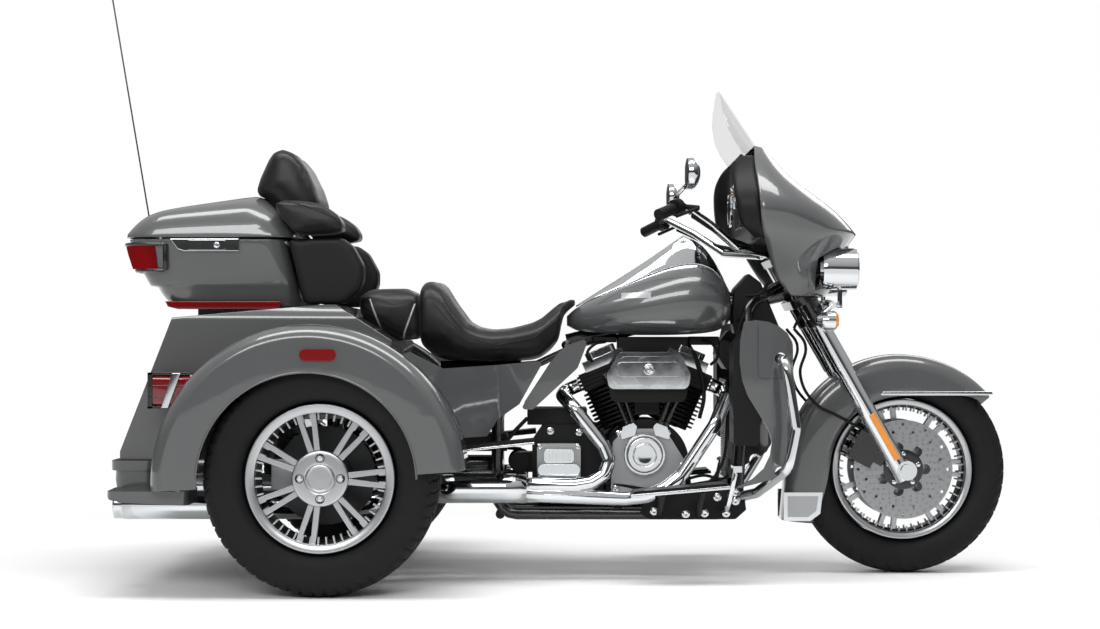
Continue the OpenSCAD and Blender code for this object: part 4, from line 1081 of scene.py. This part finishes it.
# %% Fork shrouds and neck
SHROUD_UP_LEG = 590
for side, word in SIDES:
    shroud = bmesh.new()
    top = Vector((LEG_X, side * LEG_Y, LEG_Z)) - down_leg * SHROUD_UP_LEG
    turned(shroud, top, down_leg, [(30, 0), (32.5, 4), (32.5, 176), (34.5, 180), (34.5, 200), (31, 204)], 40)
    soften(show(f"fork_shroud_{word}", shroud, [black_enamel], "steering"), 1)
neck = bmesh.new()
plate(neck, [(568, 724), (690, 714), (706, 740), (686, 788), (648, 880), (610, 908), (566, 860), (558, 780)],
      "y", -46, 46)
plate(neck, [(520, 706), (600, 690), (612, 640), (588, 612), (540, 616), (512, 660)], "y", -90, 90)
soften(show("neck_cover", neck, [moulded_plastic], "chassis"), 6, 3)
print("fork shrouds", len(SIDES))

# %% [markdown]
# The rider looks at four round gauges, a flat display and two speakers set into the inner fairing. A ray
# from the saddle finds the panel behind each, so that they sit on it wherever it curves.

# %% Dash
SADDLE_X = 100
CHROME_RIM, BLACK_FACE, SPEAKER_RING, NEEDLE = range(4)
# Columns: y, z, radius
GAUGES = ((-70, 1150, 40), (70, 1150, 40), (-150, 1160, 26), (150, 1160, 26))
SPEAKERS = ((-250, 1120, 58), (250, 1120, 58))
DISPLAY_Z = 1075
inner_fairing = tree_of(bpy.data.objects["fairing_inner_panel"])
dash = bmesh.new()


def panel_x(y, z):
    return inner_fairing.ray_cast(Vector((SADDLE_X, y, z)) * MM, Vector((1, 0, 0)))[0].x / MM


for y, z, radius in GAUGES + SPEAKERS:
    spot, back = (panel_x(y, z) + 2, y, z), (-1, 0, 0)
    rim = [(radius, 0), (radius, 6), (radius - 3, 8), (radius - 5, 5)]
    turned(dash, spot, back, rim, 40, CHROME_RIM, caps=False)
    turned(dash, spot, back, [(radius - 4, 0), (radius - 4, 4.6), (1, 4.8)], 40, BLACK_FACE)
    if (y, z, radius) in SPEAKERS:
        for inner in range(8, 45, 9):
            rib = [(inner, 4.6), (inner + 1, 6.2), (inner + 4, 6.2), (inner + 5, 4.6)]
            turned(dash, spot, back, rib, 40, SPEAKER_RING, caps=False)
    else:
        tip = z + radius * 0.7
        plate(dash, [(y - 1.2, z - 4), (y + 1.2, z - 4), (y + 0.5, tip), (y - 0.5, tip)], "x",
              spot[0] - 6.5, spot[0] - 5.5, NEEDLE)
display_x = panel_x(0, DISPLAY_Z)
plate(dash, rectangle(-82, 82, DISPLAY_Z - 29, DISPLAY_Z + 29), "x", display_x - 5, display_x + 6, BLACK_FACE)
soften(show("dash_gauges", dash, [chrome, black_enamel, moulded_plastic, amber_lens], "steering"), 0.6, 1)
print("display at x", round(display_x))

# %% [markdown]
# Beads along the wheel arches and the seam of the glove box are the last lines that the side view shows.
# The bead stiffens the sheet's edge and is a round tube; the seam is a dark ribbon.

# %% Arch beads and glove-box seam
ARCH_X, ARCH_Z, ARCH_RADIUS, BEAD_Y = -650, 317, 299, 686.5
arch = [(ARCH_X + ARCH_RADIUS * math.cos(math.radians(a)), ARCH_Z + ARCH_RADIUS * math.sin(math.radians(a)))
        for a in range(2, 179, 8)]
for side, word in SIDES:
    tube_run(f"arch_bead_{word}", [(x, side * BEAD_Y, z) for x, z in arch], 3.2, grey_paint, "chassis")
GLOVE_BOX = [(606, 748), (606, 604), (616, 594), (700, 594)]
lowers_surface = tree_of(nodes["fairing_lowers"])
ribbon("glove_box_seam", lowers_surface, between(GLOVE_BOX, 10), 2.6, pin_line, "chassis", 0.5)
print("bead points", len(arch))

# %% [markdown]
# The studio floor takes the shadow near the machine. Further out its paint fades to a white that gives
# light of its own, so that the floor has no edge against the background.

# %% Floor
FADE_FROM_M, FADE_TO_M, FLOOR_HALF_M = 1.3, 3.0, 30.0
scene = bpy.context.scene
scene.view_settings.view_transform = "Standard"
ground_paint, tree, shader = new_material("pale_floor_paint", "#fbfbfb", Roughness=0.8)
where = add(tree, "ShaderNodeTexCoord")
away = add(tree, "ShaderNodeVectorMath", {0: where.outputs["Object"]}, operation="LENGTH")
edge = add(tree, "ShaderNodeMapRange", {"Value": away.outputs["Value"], "From Min": FADE_FROM_M,
                                        "From Max": FADE_TO_M}, interpolation_type="SMOOTHSTEP")
white = add(tree, "ShaderNodeEmission", {"Color": (1, 1, 1, 1), "Strength": 1.0})
fade = add(tree, "ShaderNodeMixShader",
           {0: edge.outputs["Result"], 1: shader.outputs["BSDF"], 2: white.outputs["Emission"]})
tree.links.new(fade.outputs["Shader"], tree.nodes["Material Output"].inputs["Surface"])
floor_mesh = bmesh.new()
bmesh.ops.create_grid(floor_mesh, x_segments=2, y_segments=2, size=FLOOR_HALF_M)
floor_data = bpy.data.meshes.new("floor")
floor_mesh.to_mesh(floor_data)
floor_mesh.free()
floor_data.materials.append(ground_paint)
floor = bpy.data.objects.new("floor", floor_data)
scene.collection.objects.link(floor)
print("floor fades from", FADE_FROM_M, "to", FADE_TO_M, "m")

# %% [markdown]
# The camera and clear plastic see white walls. Paint and chrome see a grey room instead, dark near the
# floor and pale above, because a mirror in an all white room would have no shape. Light Path tells the
# rays apart.

# %% World
# Columns: height of the ray from 0 at the horizon to 1 overhead, grey
ROOM_GREYS = ((0.02, 0.03), (0.16, 0.10), (0.3, 0.42), (0.75, 0.62))
world = bpy.data.worlds.new("studio")
scene.world = world
world.use_nodes = True
tree = world.node_tree
where = add(tree, "ShaderNodeTexCoord")
up = add(tree, "ShaderNodeSeparateXYZ", {"Vector": where.outputs["Generated"]})
room = add(tree, "ShaderNodeValToRGB", {"Fac": up.outputs["Z"]})
bands = room.color_ramp.elements
bands[0].position, bands[1].position = ROOM_GREYS[0][0], ROOM_GREYS[-1][0]
for height, grey in ROOM_GREYS[1:-1]:
    bands.new(height)
for band, (height, grey) in zip(bands, ROOM_GREYS):
    band.color = (grey, grey, grey, 1)
ray = add(tree, "ShaderNodeLightPath")
clear = add(tree, "ShaderNodeMath", {0: ray.outputs["Is Camera Ray"], 1: ray.outputs["Is Transmission Ray"]},
            operation="MAXIMUM")
seen = add(tree, "ShaderNodeMix", {0: clear.outputs[0], MIX_COLOUR_A: room.outputs["Color"],
                                   MIX_COLOUR_B: (1, 1, 1, 1)}, data_type="RGBA")
sky = tree.nodes["Background"]
tree.links.new(seen.outputs[MIX_COLOUR_OUT], sky.inputs["Color"])
sky.inputs["Strength"].default_value = 1.0
print("world bands", [round(band.position, 2) for band in bands])

# %% [markdown]
# Three large soft lamps light the machine: one above gives the long highlights on tank and fenders, one
# from the right fills the side that is seen, and a weak one behind lifts the far edge.

# %% Lamps


def soft_lamp(name, place, target, size, watts):
    data = bpy.data.lights.new(name, "AREA")
    data.shape = "RECTANGLE"
    data.size, data.size_y = size
    data.energy = watts
    made = bpy.data.objects.new(name, data)
    made.location = place
    made.rotation_euler = (Vector(target) - Vector(place)).to_track_quat("-Z", "Y").to_euler()
    scene.collection.objects.link(made)


soft_lamp("top_softbox", (0, -0.9, 4.0), (0, -0.1, 0.6), (5.0, 1.2), 150)
soft_lamp("side_softbox", (-1.2, -5.4, 3.0), (0, 0, 0.7), (3.6, 1.2), 120)
soft_lamp("far_softbox", (1.5, 4.5, 2.8), (0, 0, 0.7), (4.0, 1.6), 35)
print("lamps", len(bpy.data.lights))

# %% [markdown]
# The camera stands 5.9 m to the right of the machine at 0.69 m, as the picture's perspective of the
# wheels gives, and looks up by less than a degree. Its lens follows from the picture's width and from
# how large a metre looks at that distance.

# %% Camera
PHOTO_WIDTH = 1100
FOCAL_PIXELS = 1929
HORIZON_PIXELS = 30.5
SENSOR_MM = 36
EYE_M = (0.0085, -5.894, 0.690)
eye = bpy.data.cameras.new("camera")
eye.sensor_width = SENSOR_MM
eye.lens = SENSOR_MM * FOCAL_PIXELS / PHOTO_WIDTH
camera = bpy.data.objects.new("camera", eye)
camera.location = EYE_M
camera.rotation_euler = (math.pi / 2 + math.atan(HORIZON_PIXELS / FOCAL_PIXELS), 0, 0)
scene.collection.objects.link(camera)
scene.camera = camera
print("lens", round(eye.lens, 1), "mm")
